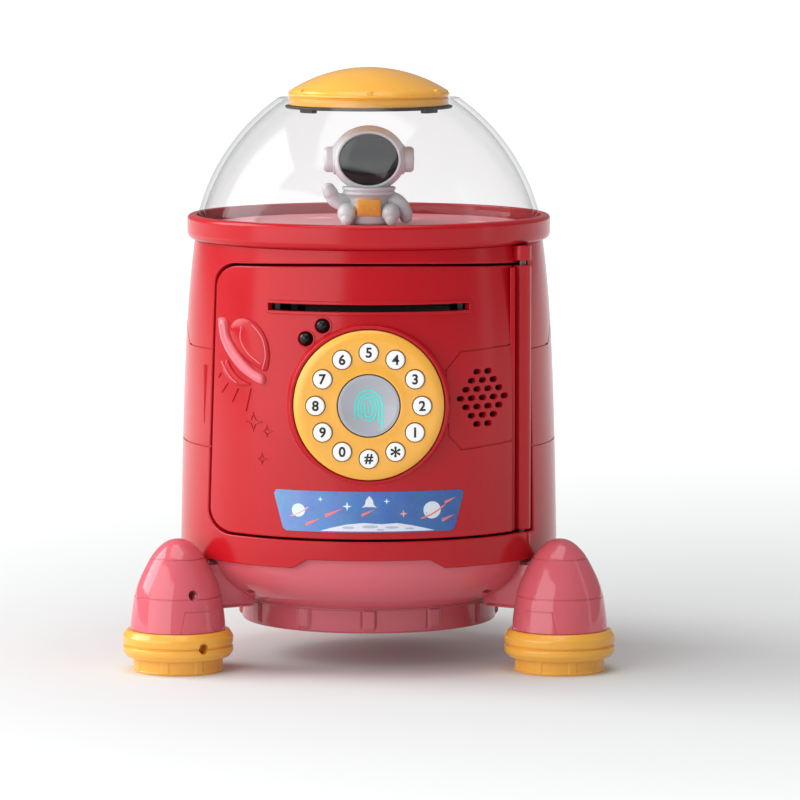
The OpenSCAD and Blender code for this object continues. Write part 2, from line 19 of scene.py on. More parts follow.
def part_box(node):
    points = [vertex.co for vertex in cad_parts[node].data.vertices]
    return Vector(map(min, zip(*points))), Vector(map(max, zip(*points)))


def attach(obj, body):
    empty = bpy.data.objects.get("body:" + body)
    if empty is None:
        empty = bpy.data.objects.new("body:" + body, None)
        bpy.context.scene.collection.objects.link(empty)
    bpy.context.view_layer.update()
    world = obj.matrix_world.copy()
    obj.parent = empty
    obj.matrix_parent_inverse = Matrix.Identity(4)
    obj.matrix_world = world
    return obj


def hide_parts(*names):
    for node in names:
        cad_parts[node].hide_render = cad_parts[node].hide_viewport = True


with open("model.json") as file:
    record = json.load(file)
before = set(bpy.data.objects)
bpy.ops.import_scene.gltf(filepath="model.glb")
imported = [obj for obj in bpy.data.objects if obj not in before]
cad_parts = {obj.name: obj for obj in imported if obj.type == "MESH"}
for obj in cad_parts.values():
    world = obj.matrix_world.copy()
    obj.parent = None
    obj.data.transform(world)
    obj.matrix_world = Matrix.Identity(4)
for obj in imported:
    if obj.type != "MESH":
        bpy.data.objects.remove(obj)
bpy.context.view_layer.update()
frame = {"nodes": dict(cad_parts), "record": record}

MM = 0.001


def box(node):
    """Lowest and highest corner of a CAD node about the rocket's axis, in millimetres."""
    lo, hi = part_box(node)
    return np.array(lo) / MM - AXIS, np.array(hi) / MM - AXIS


dome_lo, dome_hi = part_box("dome")
AXIS = np.array([0.0, (dome_lo.y + dome_hi.y) / 2 / MM, 0.0])

# Sizes that come from the frame
(_, _, SHELL_Z0), (SHELL_R, _, SHELL_Z1) = box("body_shell")
_, (RIM_R, _, RIM_TOP) = box("rim_ring")
(_, _, DOME_FOOT), (_, _, DOME_TOP) = box("dome")
_, (CAP_R, _, CAP_TOP) = box("dome_cap")
(_, _, DOOR_Z0), (_, _, DOOR_Z1) = box("door_panel")
(_, DIAL_Y, dial_low), (DIAL_R, DIAL_BACK, dial_high) = box("dial_ring")
DIAL_Z = (dial_low + dial_high) / 2
(_, _, NOZZLE_Z0), (_, _, NOZZLE_Z1) = box("nozzle_ring")
(pin_x0, pin_y0, _), (pin_x1, pin_y1, _) = box("hinge_pin")
HINGE_X, HINGE_Y, PIN_R = (pin_x0 + pin_x1) / 2, (pin_y0 + pin_y1) / 2, (pin_x1 - pin_x0) / 2

# Sizes that repeat the CAD source, because no box gives them
WALL = 2.4
BARREL_R = 3.75
COLUMN_X = HINGE_X - BARREL_R
JAMB_R = BARREL_R + 0.95
DOOR_GAP = 0.9
BARREL_Z1 = 162.0
KNUCKLE_Z0 = 163.8
SLOT_Z, SLOT_W, SLOT_H = 147.2, 78.6, 2.8
COLLAR_R, COLLAR_Y, RECESS_Y = 31.3, -76.0, -72.5
KEY_PITCH_R, KEY_R, FINGER_R = 20.9, 3.6, 12.1
BOOSTER_PITCH_R = 88.0
LEDS = [(-24.7, 135.1), (-18.1, 140.3)]
KEYS = ["5", "4", "3", "2", "1", "star", "hash", "0", "9", "8", "7", "6"]
GLYPHS = {"star": "*", "hash": "#"}


# ---------------------------------------------------------------- geometry helpers


def cosd(a):
    return cos(radians(a))


def sind(a):
    return sin(radians(a))


def unit(v):
    """The rows of v, each with length 1."""
    return v / np.maximum(norm(v, axis=1), 1e-9)[:, None]


class Part:
    """Vertices, faces and, where they are worked out, the normal of each face corner."""

    def __init__(self, verts, faces, normals=None, mat=0):
        self.verts = np.asarray(verts, float)
        self.faces = [tuple(int(i) for i in f) for f in faces]
        self.normals = normals
        self.mat = mat
        if self.volume() < 0:
            self.faces = [f[::-1] for f in self.faces]
            if normals is not None:
                self.normals = [n[::-1] for n in normals]

    def volume(self):
        fans = np.array([(f[0], a, b) for f in self.faces for a, b in zip(f[1:-1], f[2:])])
        a, b, c = (self.verts[fans[:, k]] for k in range(3))
        return (a * np.cross(b, c)).sum() / 6

    def moved(self, turn=0.0, at=(0, 0, 0), scale=(1, 1, 1)):
        """A copy scaled, turned about Z by degrees and then moved."""
        a = radians(turn)
        m = np.array([[cos(a), -sin(a), 0], [sin(a), cos(a), 0], [0, 0, 1]])
        normals = self.normals
        if normals is not None:
            normals = [[m @ n for n in f] for f in normals]
        verts = (self.verts * np.array(scale)) @ m.T + np.array(at, float)
        return Part(verts, self.faces, normals, self.mat)


def add(name, data):
    """A new object in the scene."""
    obj = bpy.data.objects.new(name, data)
    bpy.context.scene.collection.objects.link(obj)
    return obj


def final_mesh(obj):
    """An object's mesh with its modifiers applied, or a text's outline filled."""
    bpy.context.view_layer.update()
    return bpy.data.meshes.new_from_object(obj.evaluated_get(bpy.context.evaluated_depsgraph_get()))


def piece(name, parts, mats, body, nodes=()):
    """One object of the visual model from parts about the rocket's axis."""
    parts = parts if isinstance(parts, list) else [parts]
    mats = mats if isinstance(mats, list) else [mats]
    verts, faces, index, corners, base = [], [], [], [], 0
    for p in parts:
        verts.append((p.verts + AXIS) * MM)
        faces += [tuple(i + base for i in f) for f in p.faces]
        index += [p.mat] * len(p.faces)
        for i, f in enumerate(p.faces):
            corners += list(p.normals[i]) if p.normals is not None else [(0, 0, 0)] * len(f)
        base += len(p.verts)
    mesh = bpy.data.meshes.new(name)
    mesh.from_pydata(np.concatenate(verts).tolist(), [], faces)
    mesh.polygons.foreach_set("use_smooth", [True] * len(faces))
    mesh.polygons.foreach_set("material_index", index)
    for m in mats:
        mesh.materials.append(m)
    if any(p.normals is not None for p in parts):
        mesh.normals_split_custom_set([tuple(map(float, c)) for c in corners])
    obj = add(name, mesh)
    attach(obj, body)
    if nodes:
        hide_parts(*nodes)
    return obj


def rounded(points, radius, steps=4, closed=True, guard=0.12):
    """Points of an outline with its corners rounded. A point's third number is its own radius."""
    out, n = [], len(points)
    for i, p in enumerate(points):
        r = p[2] if len(p) > 2 else radius
        here = np.array(p[:2], float)
        if r <= 0 or (not closed and i in (0, n - 1)):
            out.append(tuple(here))
            continue
        before, after = np.array(points[i - 1][:2], float), np.array(points[(i + 1) % n][:2], float)
        la, lb = norm(before - here), norm(after - here)
        back, on = (before - here) / la, (after - here) / lb
        turn = acos(max(-1, min(1, float(back @ on))))
        if turn > radians(176) or turn < radians(4):
            out.append(tuple(here))
            continue
        cut = min(r / tan(turn / 2), la * 0.46, lb * 0.46)
        r = cut * tan(turn / 2)
        start, end = here + back * cut, here + on * cut
        mid = (back + on) / norm(back + on)
        centre = here + mid * (r / sin(turn / 2))
        if guard and la > 2.2 * cut + guard:
            out.append(tuple(start + back * min(guard, (la - 2.2 * cut) / 2)))
        a0 = atan2(*(start - centre)[::-1])
        a1 = atan2(*(end - centre)[::-1])
        sweep = (a1 - a0 + pi) % (2 * pi) - pi
        for a in [a0 + sweep * k / steps for k in range(steps + 1)]:
            out.append(tuple(centre + r * np.array([cos(a), sin(a)])))
        if guard and lb > 2.2 * cut + guard:
            out.append(tuple(end + on * min(guard, (lb - 2.2 * cut) / 2)))
    return out


def smooth_line(points, step):
    """Points every step or so along a soft curve through the given points (centripetal spline)."""
    first, second, before_last, last = (np.array(points[k]) for k in (0, 1, -2, -1))
    p = np.array([first * 2 - second, *points, last * 2 - before_last], float)
    out = []
    for i in range(1, len(p) - 2):
        t = np.cumsum([0.0] + [max(1e-6, norm(p[i + k] - p[i + k - 1])) ** 0.5 for k in range(3)])

        def between(k, m, a, b):
            return (t[m] - s) / (t[m] - t[k]) * a + (s - t[k]) / (t[m] - t[k]) * b

        for s in np.linspace(t[1], t[2], max(1, int(round(norm(p[i + 1] - p[i]) / step))),
                endpoint=False):
            a = [between(k, k + 1, p[i - 1 + k], p[i + k]) for k in range(3)]
            b = [between(k, k + 2, a[k], a[k + 1]) for k in range(2)]
            out.append(between(1, 2, *b))
    out.append(p[-2])
    return [tuple(q) for q in out]


def lathe(profile, n=144, axis="z", centre=(0, 0), arc=None, wave=None, mat=0):
    """A solid turned from (radius, height) points, about Z or about a line along Y."""
    pts = np.array([q[:2] for q in profile], float)
    m = len(pts)
    turns = np.radians(np.linspace(*(arc or (0, 360)), n + 1))
    rows = []
    for a in turns:
        r = pts[:, 0] + (wave(degrees(a), pts) if wave else 0)
        x, y, z = centre[0] + r * cos(a), centre[1] + r * sin(a), pts[:, 1]
        rows.append(np.stack([x, y, z] if axis == "z" else [x, z, y], 1))

    def index(i, j):
        if pts[j, 0] < 1e-6:
            return j
        return (i % n if arc is None else i) * m + j

    last = m if pts[0, 0] > 1e-6 and pts[-1, 0] > 1e-6 else m - 1
    faces = []
    for i in range(n):
        for j in range(last):
            k = (j + 1) % m
            quad = list(dict.fromkeys([index(i, j), index(i + 1, j), index(i + 1, k), index(i, k)]))
            if len(quad) > 2:
                faces.append(quad)
    if arc is not None:
        faces.append([index(0, j) for j in range(m)])
        faces.append([index(n, j) for j in reversed(range(m))])
    return packed(np.concatenate(rows), faces, mat)


def packed(verts, faces, mat=0):
    """A part without the vertices that no face uses."""
    used = sorted({i for f in faces for i in f})
    renumber = {v: i for i, v in enumerate(used)}
    return Part(verts[used], [[renumber[i] for i in f] for f in faces], mat=mat)


def block(x, y, z, r=0.4, mat=0):
    """A box with rounded edges between two values on each axis."""
    bm = bmesh.new()
    bmesh.ops.create_cube(bm, size=1)
    for v in bm.verts:
        v.co = Vector([(lim[0] + lim[1]) / 2 + c * (lim[1] - lim[0]) for lim, c in zip((x, y, z), v.co)])
    bmesh.ops.bevel(bm, geom=list(bm.edges), offset=r, segments=3, profile=0.5, affect="EDGES")
    out = Part([v.co[:] for v in bm.verts], [[v.index for v in f.verts] for f in bm.faces], mat=mat)
    bm.free()
    return out


def limb(path, radii, n=28, step=0.5, mat=0):
    """A soft tube through points, with a radius at each one and a round end at both ends."""
    line = np.array(smooth_line([(*p, r) for p, r in zip(path, radii)], step))
    pts, rad = line[:, :3], line[:, 3]
    ahead = unit(np.gradient(pts, axis=0))
    side = np.cross(ahead[0], [0.0, 0.0, 1.0] if abs(ahead[0][2]) < 0.8 else [1.0, 0.0, 0.0])
    around = np.linspace(0, 2 * pi, n, endpoint=False)[:, None]
    steps = range(15, 90, 15)
    stations = [(pts[0] - ahead[0] * rad[0] * sind(90 - a), ahead[0], rad[0] * cosd(90 - a))
        for a in steps]
    stations += zip(pts, ahead, rad)
    stations += [(pts[-1] + ahead[-1] * rad[-1] * sind(a), ahead[-1], rad[-1] * cosd(a)) for a in steps]
    rings = []
    for centre, way, r in stations:
        side = side - way * (side @ way)
        side /= norm(side)
        rings.append(centre + r * (np.cos(around) * side + np.sin(around) * np.cross(way, side)))
    verts = [pts[0] - ahead[0] * rad[0], pts[-1] + ahead[-1] * rad[-1], *np.concatenate(rings)]
    faces = [[0, 2 + (k + 1) % n, 2 + k] for k in range(n)]
    for i in range(len(rings) - 1):
        for k in range(n):
            a, b = 2 + i * n + k, 2 + i * n + (k + 1) % n
            faces.append([a, b, b + n, a + n])
    top = 2 + (len(rings) - 1) * n
    faces += [[1, top + k, top + (k + 1) % n] for k in range(n)]
    return Part(verts, faces, mat=mat)


def offset(line, d, closed):
    """A line moved to its left by d."""
    p = np.array(line, float)
    a, b = p - np.roll(p, 1, 0), np.roll(p, -1, 0) - p
    if not closed:
        a[0], b[-1] = b[0], a[-1]
    before, after = (np.stack([-v[:, 1], v[:, 0]], 1) for v in (unit(a), unit(b)))
    n = unit(before + after)
    return p + n * (d / np.maximum(0.4, (n * before).sum(1)))[:, None]


def nearest(q, line, closed):
    """For each point, its distance to a line and that line's left-hand normal there."""
    p = np.array(line, float)
    normal = offset(line, 1.0, closed) - p
    e = np.roll(p, -1, 0) - p
    f = np.roll(normal, -1, 0)
    if not closed:
        p, e, normal, f = p[:-1], e[:-1], normal[:-1], f[:-1]
    best, ways = np.full(len(q), 1e9), np.zeros((len(q), 2))
    for s in range(0, len(q), 4000):
        w = q[s:s + 4000, None] - p[None]
        t = np.clip((w * e).sum(2) / np.maximum((e * e).sum(1), 1e-12), 0, 1)
        d = norm(w - t[..., None] * e, axis=2)
        k = d.argmin(1)
        rows = np.arange(len(k))
        best[s:s + 4000] = d[rows, k]
        tk = t[rows, k][:, None]
        ways[s:s + 4000] = normal[k] * (1 - tk) + f[k] * tk
    return best, unit(ways)


def inside(q, loop):
    """Which points lie inside a closed loop."""
    p = np.array(loop, float)
    a, b = p, np.roll(p, -1, 0)
    out = np.zeros(len(q), bool)
    for s in range(0, len(q), 4000):
        x, y = q[s:s + 4000, 0][:, None], q[s:s + 4000, 1][:, None]
        cross = (a[:, 1] > y) != (b[:, 1] > y)
        fall = np.where(b[:, 1] == a[:, 1], 1e-12, b[:, 1] - a[:, 1])
        at = a[:, 0] + (y - a[:, 1]) / fall * (b[:, 0] - a[:, 0])
        out[s:s + 4000] = (cross & (x < at)).sum(1) % 2 == 1
    return out


def dense(line, step, closed):
    """A line with points at most step apart."""
    out = []
    n = len(line)
    for i in range(n if closed else n - 1):
        a, b = np.array(line[i], float), np.array(line[(i + 1) % n], float)
        k = max(1, ceil(norm(b - a) / step))
        out += [tuple(a + (b - a) * j / k) for j in range(k)]
    return out if closed else out + [tuple(line[-1])]


SLOPE_STEP = 0.003
ROUNDING_LINES = (0.08, 0.3, 0.62, 1.0, 1.35)
GROOVE_LINES = (-0.75, -0.5, -0.375, -0.25, 0.25, 0.375, 0.5, 0.75)


class Groove:
    """A line pressed into a skin, or standing out of it when depth is negative."""

    def __init__(self, line, width=0.9, depth=0.6, closed=False):
        self.line, self.width, self.depth, self.closed = dense(line, 2.5, closed), width, depth, closed

    def height(self, q):
        d, _ = nearest(q, self.line, self.closed)
        t = np.clip(2 - 4 * d / self.width, 0, 1)
        return -self.depth * t * t * (3 - 2 * t)

    def chains(self):
        for k in GROOVE_LINES:
            yield offset(self.line, k * self.width, self.closed), self.closed


def skin(surf, outline, holes=(), grooves=(), edge=0.5, hole_edge=0.3, back=-WALL, step=4.0, relief=None,
        chains=(), seam=False, mat=0):
    """A closed sheet over surf(u, v, h), where h is the height above the surface.

    outline runs anticlockwise, seen from outside. With seam, its left and right sides are the
    same line on the surface and are joined, and points less than seam above the lowest belong to
    the bottom edge. relief(points) adds height, and chains are lines that the mesh follows so that
    the relief's own edges stay crisp.
    """
    outline = dense(outline, step, True)
    o = np.array(outline)
    lo, hi = o.min(0), o.max(0)
    if seam:
        sides = (o[:, 0] < lo[0] + 1e-6) | (o[:, 0] > hi[0] - 1e-6)
        bottom = sorted(tuple(p) for p in o[(o[:, 1] < lo[1] + seam) & (~sides | (o[:, 1] < lo[1]
            + 1e-6))])
        top = sorted([tuple(p) for p in o if p[1] > hi[1] - 1e-6], reverse=True)
        free = [(bottom, False, 1), (top, False, 1)]
    else:
        free = [(outline, True, 1)]
    free += [(dense(h, step, True), True, -1) for h in holes]

    lines = [(np.array(outline), True)]
    for line, closed, side in free:
        r = edge if side > 0 else hole_edge
        if side < 0:
            lines.append((np.array(line), True))
        for k in ROUNDING_LINES:
            lines.append((offset(line, side * r * k, closed), closed))
    for g in grooves:
        lines += list(g.chains())
    lines += [(np.array(dense(c, step, cl)), cl) for c, cl in chains]

    points, edges = [], []
    for line, closed in lines:
        base = len(points)
        points += [tuple(p) for p in line]
        edges += [(base + i, base + i + 1) for i in range(len(line) - 1)]
        if closed:
            edges.append((base + len(line) - 1, base))
    fixed = np.array(points)
    cols, rows = int((hi[0] - lo[0]) / step) + 1, int((hi[1] - lo[1]) / step) + 1
    grid = np.array([(lo[0] + (hi[0] - lo[0]) * (i + 0.5 * (j % 2)) / cols, lo[1]
        + (hi[1] - lo[1]) * j / rows) for i in range(1, cols) for j in range(1, rows)]).reshape(-1, 2)
    keep = inside(grid, outline)
    for s in range(0, len(grid), 2000):
        d = norm(grid[s:s + 2000, None] - fixed[None], axis=2).min(1)
        keep[s:s + 2000] &= d > 0.45 * step
    for h in holes:
        keep &= ~inside(grid, h)
    points += [tuple(p) for p in grid[keep]]
    v2, _, tris, *_ = delaunay_2d_cdt([Vector(p) for p in points], edges, [], 0, 1e-5, False)
    q = np.array([tuple(p) for p in v2])
    tri = np.array([tuple(t) for t in tris if len(t) == 3])
    mid = q[tri].mean(1)
    good = inside(mid, outline)
    for h in holes:
        good &= ~inside(mid, dense(h, step, True))
    a, b, c = q[tri[:, 0]], q[tri[:, 1]], q[tri[:, 2]]
    area = (b[:, 0] - a[:, 0]) * (c[:, 1] - a[:, 1]) - (b[:, 1] - a[:, 1]) * (c[:, 0] - a[:, 0])
    tri = tri[good & (np.abs(area) > 1e-9)]
    if seam:
        at_left = {round(v, 3): i for i, (u, v) in enumerate(q) if abs(u - lo[0]) < 1e-6}
        tri = np.array([at_left.get(round(v, 3), i) if abs(u - hi[0]) < 1e-6 else i for i,
            (u, v) in enumerate(q)])[tri]
    used = np.unique(tri)
    renumber = np.zeros(len(q), int)
    renumber[used] = np.arange(len(used))
    q, tri = q[used], renumber[tri]

    def soft(p):
        h = np.zeros(len(p))
        for g in grooves:
            h += g.height(p)
        return h + relief(p) if relief else h

    h, lean = soft(q), np.zeros((len(q), 2))
    wall_way = np.zeros((len(q), 2))
    wall_dist = np.full(len(q), 1e9)
    for line, closed, side in free:
        r = edge if side > 0 else hole_edge
        d, way = nearest(q, line, closed)
        way *= side
        near = d < r
        s = np.clip((r - d) / r, 0, 1)
        h -= np.where(near, r - r * np.sqrt(np.maximum(1 - s * s, 0)), 0)
        lean = np.where((near & (s > norm(lean, axis=1)))[:, None], -way * s[:, None], lean)
        closer = d < wall_dist
        wall_way[closer], wall_dist[closer] = -way[closer], d[closer]

    tangents, slopes = [], []
    for hop in ([SLOPE_STEP, 0], [0, SLOPE_STEP]):
        ahead, behind = q + hop, q - hop
        tangents.append(unit(surf(ahead[:, 0], ahead[:, 1], 0) - surf(behind[:, 0], behind[:, 1], 0)))
        slopes.append((soft(ahead) - soft(behind)) / (2 * SLOPE_STEP))
    tu, tv = tangents
    up = unit(np.cross(tu, tv))
    rise = np.sqrt(np.maximum(1 - (lean * lean).sum(1), 0))[:, None]
    tilt = lean - np.stack(slopes, 1) * rise
    front_n = unit(tilt[:, :1] * tu + tilt[:, 1:] * tv + rise * up)
    wall_n = wall_way[:, :1] * tu + wall_way[:, 1:] * tv

    front = surf(q[:, 0], q[:, 1], h)
    rear = surf(q[:, 0], q[:, 1], np.full(len(q), float(back)))
    count = len(q)
    faces, normals = [], []
    tri = [t for t in tri if len({*t}) == 3]
    for t in tri:
        faces += [tuple(t), tuple(i + count for i in t[::-1])]
        normals += [[front_n[i] for i in t], [-up[i] for i in t[::-1]]]
    sides = dict.fromkeys((t[k], t[(k + 1) % 3]) for t in tri for k in range(3))
    for i, j in sides:
        if (j, i) not in sides:
            faces.append((j, i, i + count, j + count))
            normals.append([wall_n[j], wall_n[i], wall_n[i], wall_n[j]])
    return Part(np.concatenate([front, rear]), faces, normals, mat)


def circle(x, y, r, n=32):
    return [(x + r * cos(2 * pi * k / n), y + r * sin(2 * pi * k / n)) for k in range(n)]


def stadium(x, y, w, h, n=7):
    """Slot with round ends, as a closed anticlockwise line."""
    r, s = h / 2, (w - h) / 2
    turns = [(x + s, -90 + 180 * k / n) for k in range(n + 1)] + [(x - s, 90 + 180 * k / n)
        for k in range(n + 1)]
    return [(cx + r * cosd(a), y + r * sind(a)) for cx, a in turns]


# ---------------------------------------------------------------- materials


def rgb(text):
    """Linear colour from a hex colour as seen on a screen."""
    c = [int(text[i:i + 2], 16) / 255 for i in (0, 2, 4)]
    return tuple(x / 12.92 if x <= 0.04045 else ((x + 0.055) / 1.055) ** 2.4 for x in c)


def new_material(name):
    """A material, its tree and the tree's own makers of nodes and links."""
    mat = bpy.data.materials.new(name)
    mat.use_nodes = True
    return mat, mat.node_tree, mat.node_tree.nodes.new, mat.node_tree.links.new


def plastic(name, color, rough=0.3, vary=0.05, grain=0.06, wave=0.02, metal=0.0, specular=0.5,
        scuff=0.05):
    """Moulded plastic, or metal: slow colour drift, fine grain and slightly uneven gloss."""
    mat, tree, node, link = new_material(name)
    color = rgb(color) if isinstance(color, str) else color
    bsdf = tree.nodes["Principled BSDF"]
    bsdf.inputs["Metallic"].default_value = metal
    bsdf.inputs["Specular IOR Level"].default_value = specular
    place = node("ShaderNodeTexCoord")

    def noise(scale, detail):
        n = node("ShaderNodeTexNoise")
        n.inputs["Scale"].default_value = scale
        n.inputs["Detail"].default_value = detail
        link(place.outputs["Object"], n.inputs["Vector"])
        return n.outputs["Fac"]

    drift = node("ShaderNodeMix")
    drift.data_type = "RGBA"
    drift.inputs["A"].default_value = (*[c * (1 - vary) for c in color], 1)
    drift.inputs["B"].default_value = (*[min(1, c * (1 + vary) + vary * 0.01) for c in color], 1)
    link(noise(45, 3), drift.inputs["Factor"])
    link(drift.outputs["Result"], bsdf.inputs["Base Color"])
    gloss = node("ShaderNodeMapRange")
    gloss.inputs["To Min"].default_value = max(0.02, rough - scuff)
    gloss.inputs["To Max"].default_value = rough + scuff
    link(noise(220, 4), gloss.inputs["Value"])
    link(gloss.outputs["Result"], bsdf.inputs["Roughness"])
    under = None
    for strength, depth, scale, detail in ((grain, 0.00005, 3200, 2), (wave, 0.0004, 160, 1)):
        bump = node("ShaderNodeBump")
        bump.inputs["Strength"].default_value, bump.inputs["Distance"].default_value = strength, depth
        link(noise(scale, detail), bump.inputs["Height"])
        if under:
            link(under.outputs["Normal"], bump.inputs["Normal"])
        under = bump
    link(under.outputs["Normal"], bsdf.inputs["Normal"])
    return mat


def clear_plastic():
    """Thin clear plastic: see-through face on, greyer and glossier at its edges."""
    mat, tree, node, link = new_material("clear_plastic")
    tree.nodes.remove(tree.nodes["Principled BSDF"])
    edge = node("ShaderNodeLayerWeight")
    edge.inputs["Blend"].default_value = 0.5

    def by_angle(*stops):
        ramp = node("ShaderNodeValToRGB")
        ends = ramp.color_ramp.elements
        for k, (at, c) in enumerate(stops):
            e = ends[k] if k < 2 else ends.new(at)
            e.position, e.color = at, (c, c, c, 1)
        link(edge.outputs["Facing"], ramp.inputs["Fac"])
        return ramp.outputs["Color"]

    tint = by_angle((0.0, 0.965), (1.0, 0.66), (0.5, 0.955), (0.75, 0.92), (0.9, 0.83))
    through = node("ShaderNodeBsdfTransparent")
    link(tint, through.inputs["Color"])
    shine = node("ShaderNodeBsdfGlossy")
    shine.inputs["Roughness"].default_value = 0.06
    shine.inputs["Color"].default_value = (0.9, 0.92, 0.94, 1)
    ripple = node("ShaderNodeTexNoise")
    ripple.inputs["Scale"].default_value = 60
    place = node("ShaderNodeTexCoord")
    link(place.outputs["Object"], ripple.inputs["Vector"])
    bump = node("ShaderNodeBump")
    bump.inputs["Strength"].default_value = 0.015
    bump.inputs["Distance"].default_value = 0.001
    link(ripple.outputs["Fac"], bump.inputs["Height"])
    link(bump.outputs["Normal"], shine.inputs["Normal"])
    mix = node("ShaderNodeMixShader")
    link(by_angle((0.0, 0.02), (1.0, 0.5), (0.7, 0.035), (0.9, 0.12)), mix.inputs["Fac"])
    link(through.outputs["BSDF"], mix.inputs[1])
    link(shine.outputs["BSDF"], mix.inputs[2])
    link(mix.outputs["Shader"], tree.nodes["Material Output"].inputs["Surface"])
    return mat


RED = plastic("red_plastic", "B5121D", rough=0.2, vary=0.03, grain=0.04, wave=0.008, specular=0.28,
    scuff=0.03)
# Lighter pink for the planet's ring and the thin lines on it: painted highlight, standing for light caught by
# the red relief
PAINTED_HIGHLIGHT_PINK = plastic("emblem_painted_highlight_pink", "D9606C", rough=0.14, vary=0.03, grain=0.03, wave=0.006, specular=0.7,
    scuff=0.03)
# The nozzle's pink is darker than the bowl's: painted shade, for the shadow under the bowl
PAINTED_SHADE_PINK = plastic("nozzle_painted_shade_pink", "B8545F", rough=0.12, grain=0.03, wave=0.008, scuff=0.03)
MOON = plastic("moon_pink", "F0A0AA", rough=0.22, vary=0.08, grain=0.12, wave=0.02)
PINK = plastic("pink_plastic", "D2606C", rough=0.09, vary=0.035, grain=0.02, wave=0.006, scuff=0.03)
YELLOW = plastic("yellow_plastic", "F0AE44", rough=0.18, vary=0.03, grain=0.04, wave=0.01, scuff=0.04)
WHITE = plastic("white_plastic", "F2F2F4", rough=0.24, vary=0.02, grain=0.05, wave=0.01)
SUIT = plastic("suit_plastic", "CBD1D5", rough=0.2, vary=0.04, grain=0.08, wave=0.012)
BLACK = plastic("black_gloss", "070709", rough=0.06, vary=0.1, grain=0.02, wave=0.004, specular=0.3,
    scuff=0.03)
SILVER = plastic("button_silver", "A9ABB4", rough=0.2, vary=0.03, grain=0.08, wave=0.01)
DARK = plastic("dark_plastic", "2C2D30", rough=0.45, vary=0.12, grain=0.2, wave=0.02)
GEAR = plastic("gear_plastic", "DAD7CC", rough=0.4, vary=0.05, grain=0.12)
SILICONE = plastic("silicone", "3A3B3F", rough=0.6, vary=0.06, grain=0.2)
BOARD = plastic("circuit_board", "1F6B3A", rough=0.4, vary=0.12, grain=0.25)
# Steel set darker than bare steel so that the hinge pin seen in the notch stays dark: partly painted shade
STEEL = plastic("steel", "5C5E63", rough=0.34, vary=0.06, grain=0.12, metal=1.0)
CELL = plastic("cell_wrap", "2E5D8C", rough=0.3, vary=0.08, grain=0.05)
CLEAR = clear_plastic()
INK = plastic("key_ink", "141416", rough=0.35, vary=0.1, grain=0.05)
CYAN = plastic("finger_ink", "35E0D6", rough=0.3, vary=0.04, grain=0.05)
BY_SLOT = {"red_plastic": RED, "pink_plastic": PINK, "yellow_plastic": YELLOW, "clear_plastic": CLEAR,
    "white_plastic": WHITE, "black_gloss": BLACK, "button_silver": SILVER, "dark_plastic": DARK,
    "gear_plastic": GEAR, "silicone": SILICONE, "circuit_board": BOARD, "steel": STEEL, "cell_wrap": CELL}

# ---------------------------------------------------------------- shell


SHELL_Z0_OUT, SHELL_LEAN, SHELL_DRAW_IN = 49, 0.02, 3.4


def shell_out(z):
    """Outside radius of the shell and the door at a height."""
    over = np.maximum(0, np.asarray(z, float) - SHELL_Z0_OUT)
    return SHELL_R - SHELL_LEAN * over - SHELL_DRAW_IN * (over / 120) ** 4


REF_R = 75.0


def on_shell(u, v, h):
    """Shell surface: u is millimetres round from the front at REF_R, v is the height."""
    r, a = shell_out(v) + h, np.asarray(u) / REF_R
    return np.stack([r * np.sin(a), -r * np.cos(a), v + 0 * r], -1)


def across(x, z):
    """The u of the shell point that shows at x from the front."""
    return REF_R * np.arcsin(np.clip(x / shell_out(z), -1, 1))


def on_front(line):
    """Points drawn in X and Z, laid on the shell."""
    return [(float(across(x, z)), float(z)) for x, z in line]


def facing(loop):
    """A loop drawn in X and Z, laid on the shell in steps that follow its curve."""
    return on_front(dense(loop, 3.0, True))


def door_outline(g, right):
    """Door outline in X and Z, anticlockwise, grown by g on its free sides."""
    top_r, corner, left_top, left_bottom = 960, 9, -60.6 - g, -63.3 - g
    top_z = DOOR_Z1 - top_r + sqrt(top_r ** 2 - 52 ** 2) + g

    def arc(cx, cz, a0, a1, n=10):
        return [(cx + corner * cosd(a), cz + corner * sind(a)) for a in [a0 + (a1 - a0) * k / n
            for k in range(n + 1)]]

    top = [(x, DOOR_Z1 + g - top_r + sqrt(top_r ** 2 - x ** 2)) for x in np.linspace(right, left_top
        + corner, 12)]
    return ([(right, DOOR_Z0 - g)] + top + arc(left_top + corner, top_z - corner, 95, 178)
        + arc(left_bottom + corner, DOOR_Z0 - g + corner, 182, 270))


def deg(a):
    """Degrees round from the front, as u on the shell."""
    return radians(a) * REF_R


pin_out = hypot(HINGE_X, HINGE_Y)
pin_angle = atan2(HINGE_X, -HINGE_Y)
mid_r = float(shell_out(110))
opening = pin_angle + acos((mid_r ** 2 + pin_out ** 2 - JAMB_R ** 2) / (2 * mid_r * pin_out))
hole_line = dense(door_outline(DOOR_GAP, 65.0), 3.0, True)
door_hole = [(u if x < COLUMN_X else opening * REF_R, z) for (u, z),
    (x, _) in zip(on_front(hole_line), hole_line)]
coin_u, COIN_HALF, COIN_Z0, COIN_Z1 = deg(180), 15, 149.4, 152.6
coin_hole = [(coin_u - COIN_HALF, COIN_Z0), (coin_u + COIN_HALF, COIN_Z0), (coin_u + COIN_HALF, COIN_Z1),
    (coin_u - COIN_HALF, COIN_Z1)]
seam_u = deg(-150)
notch = [(-30.5, SHELL_Z0), (-24.4, SHELL_Z0 + 3.6), (24.4, SHELL_Z0 + 3.6), (30.5, SHELL_Z0)]
seam_end = seam_u + deg(360)
shell_loop = [(seam_u, SHELL_Z0), *on_front(dense(notch, 3.0, False)), (seam_end, SHELL_Z0),
    (seam_end, SHELL_Z1), (seam_u, SHELL_Z1)]
shell_lines = [Groove([(deg(a), z) for a, z in line]) for line in ([(57, 89.4), (210, 89.4)],
    [(-150, 89.4), (-52, 89.4)], [(58, 128.5), (76.3, 128.5), (86, 137.5), (210, 137.5)],
    [(-150, 137.5), (-86, 137.5), (-76.3, 128.5), (-58, 128.5)])]


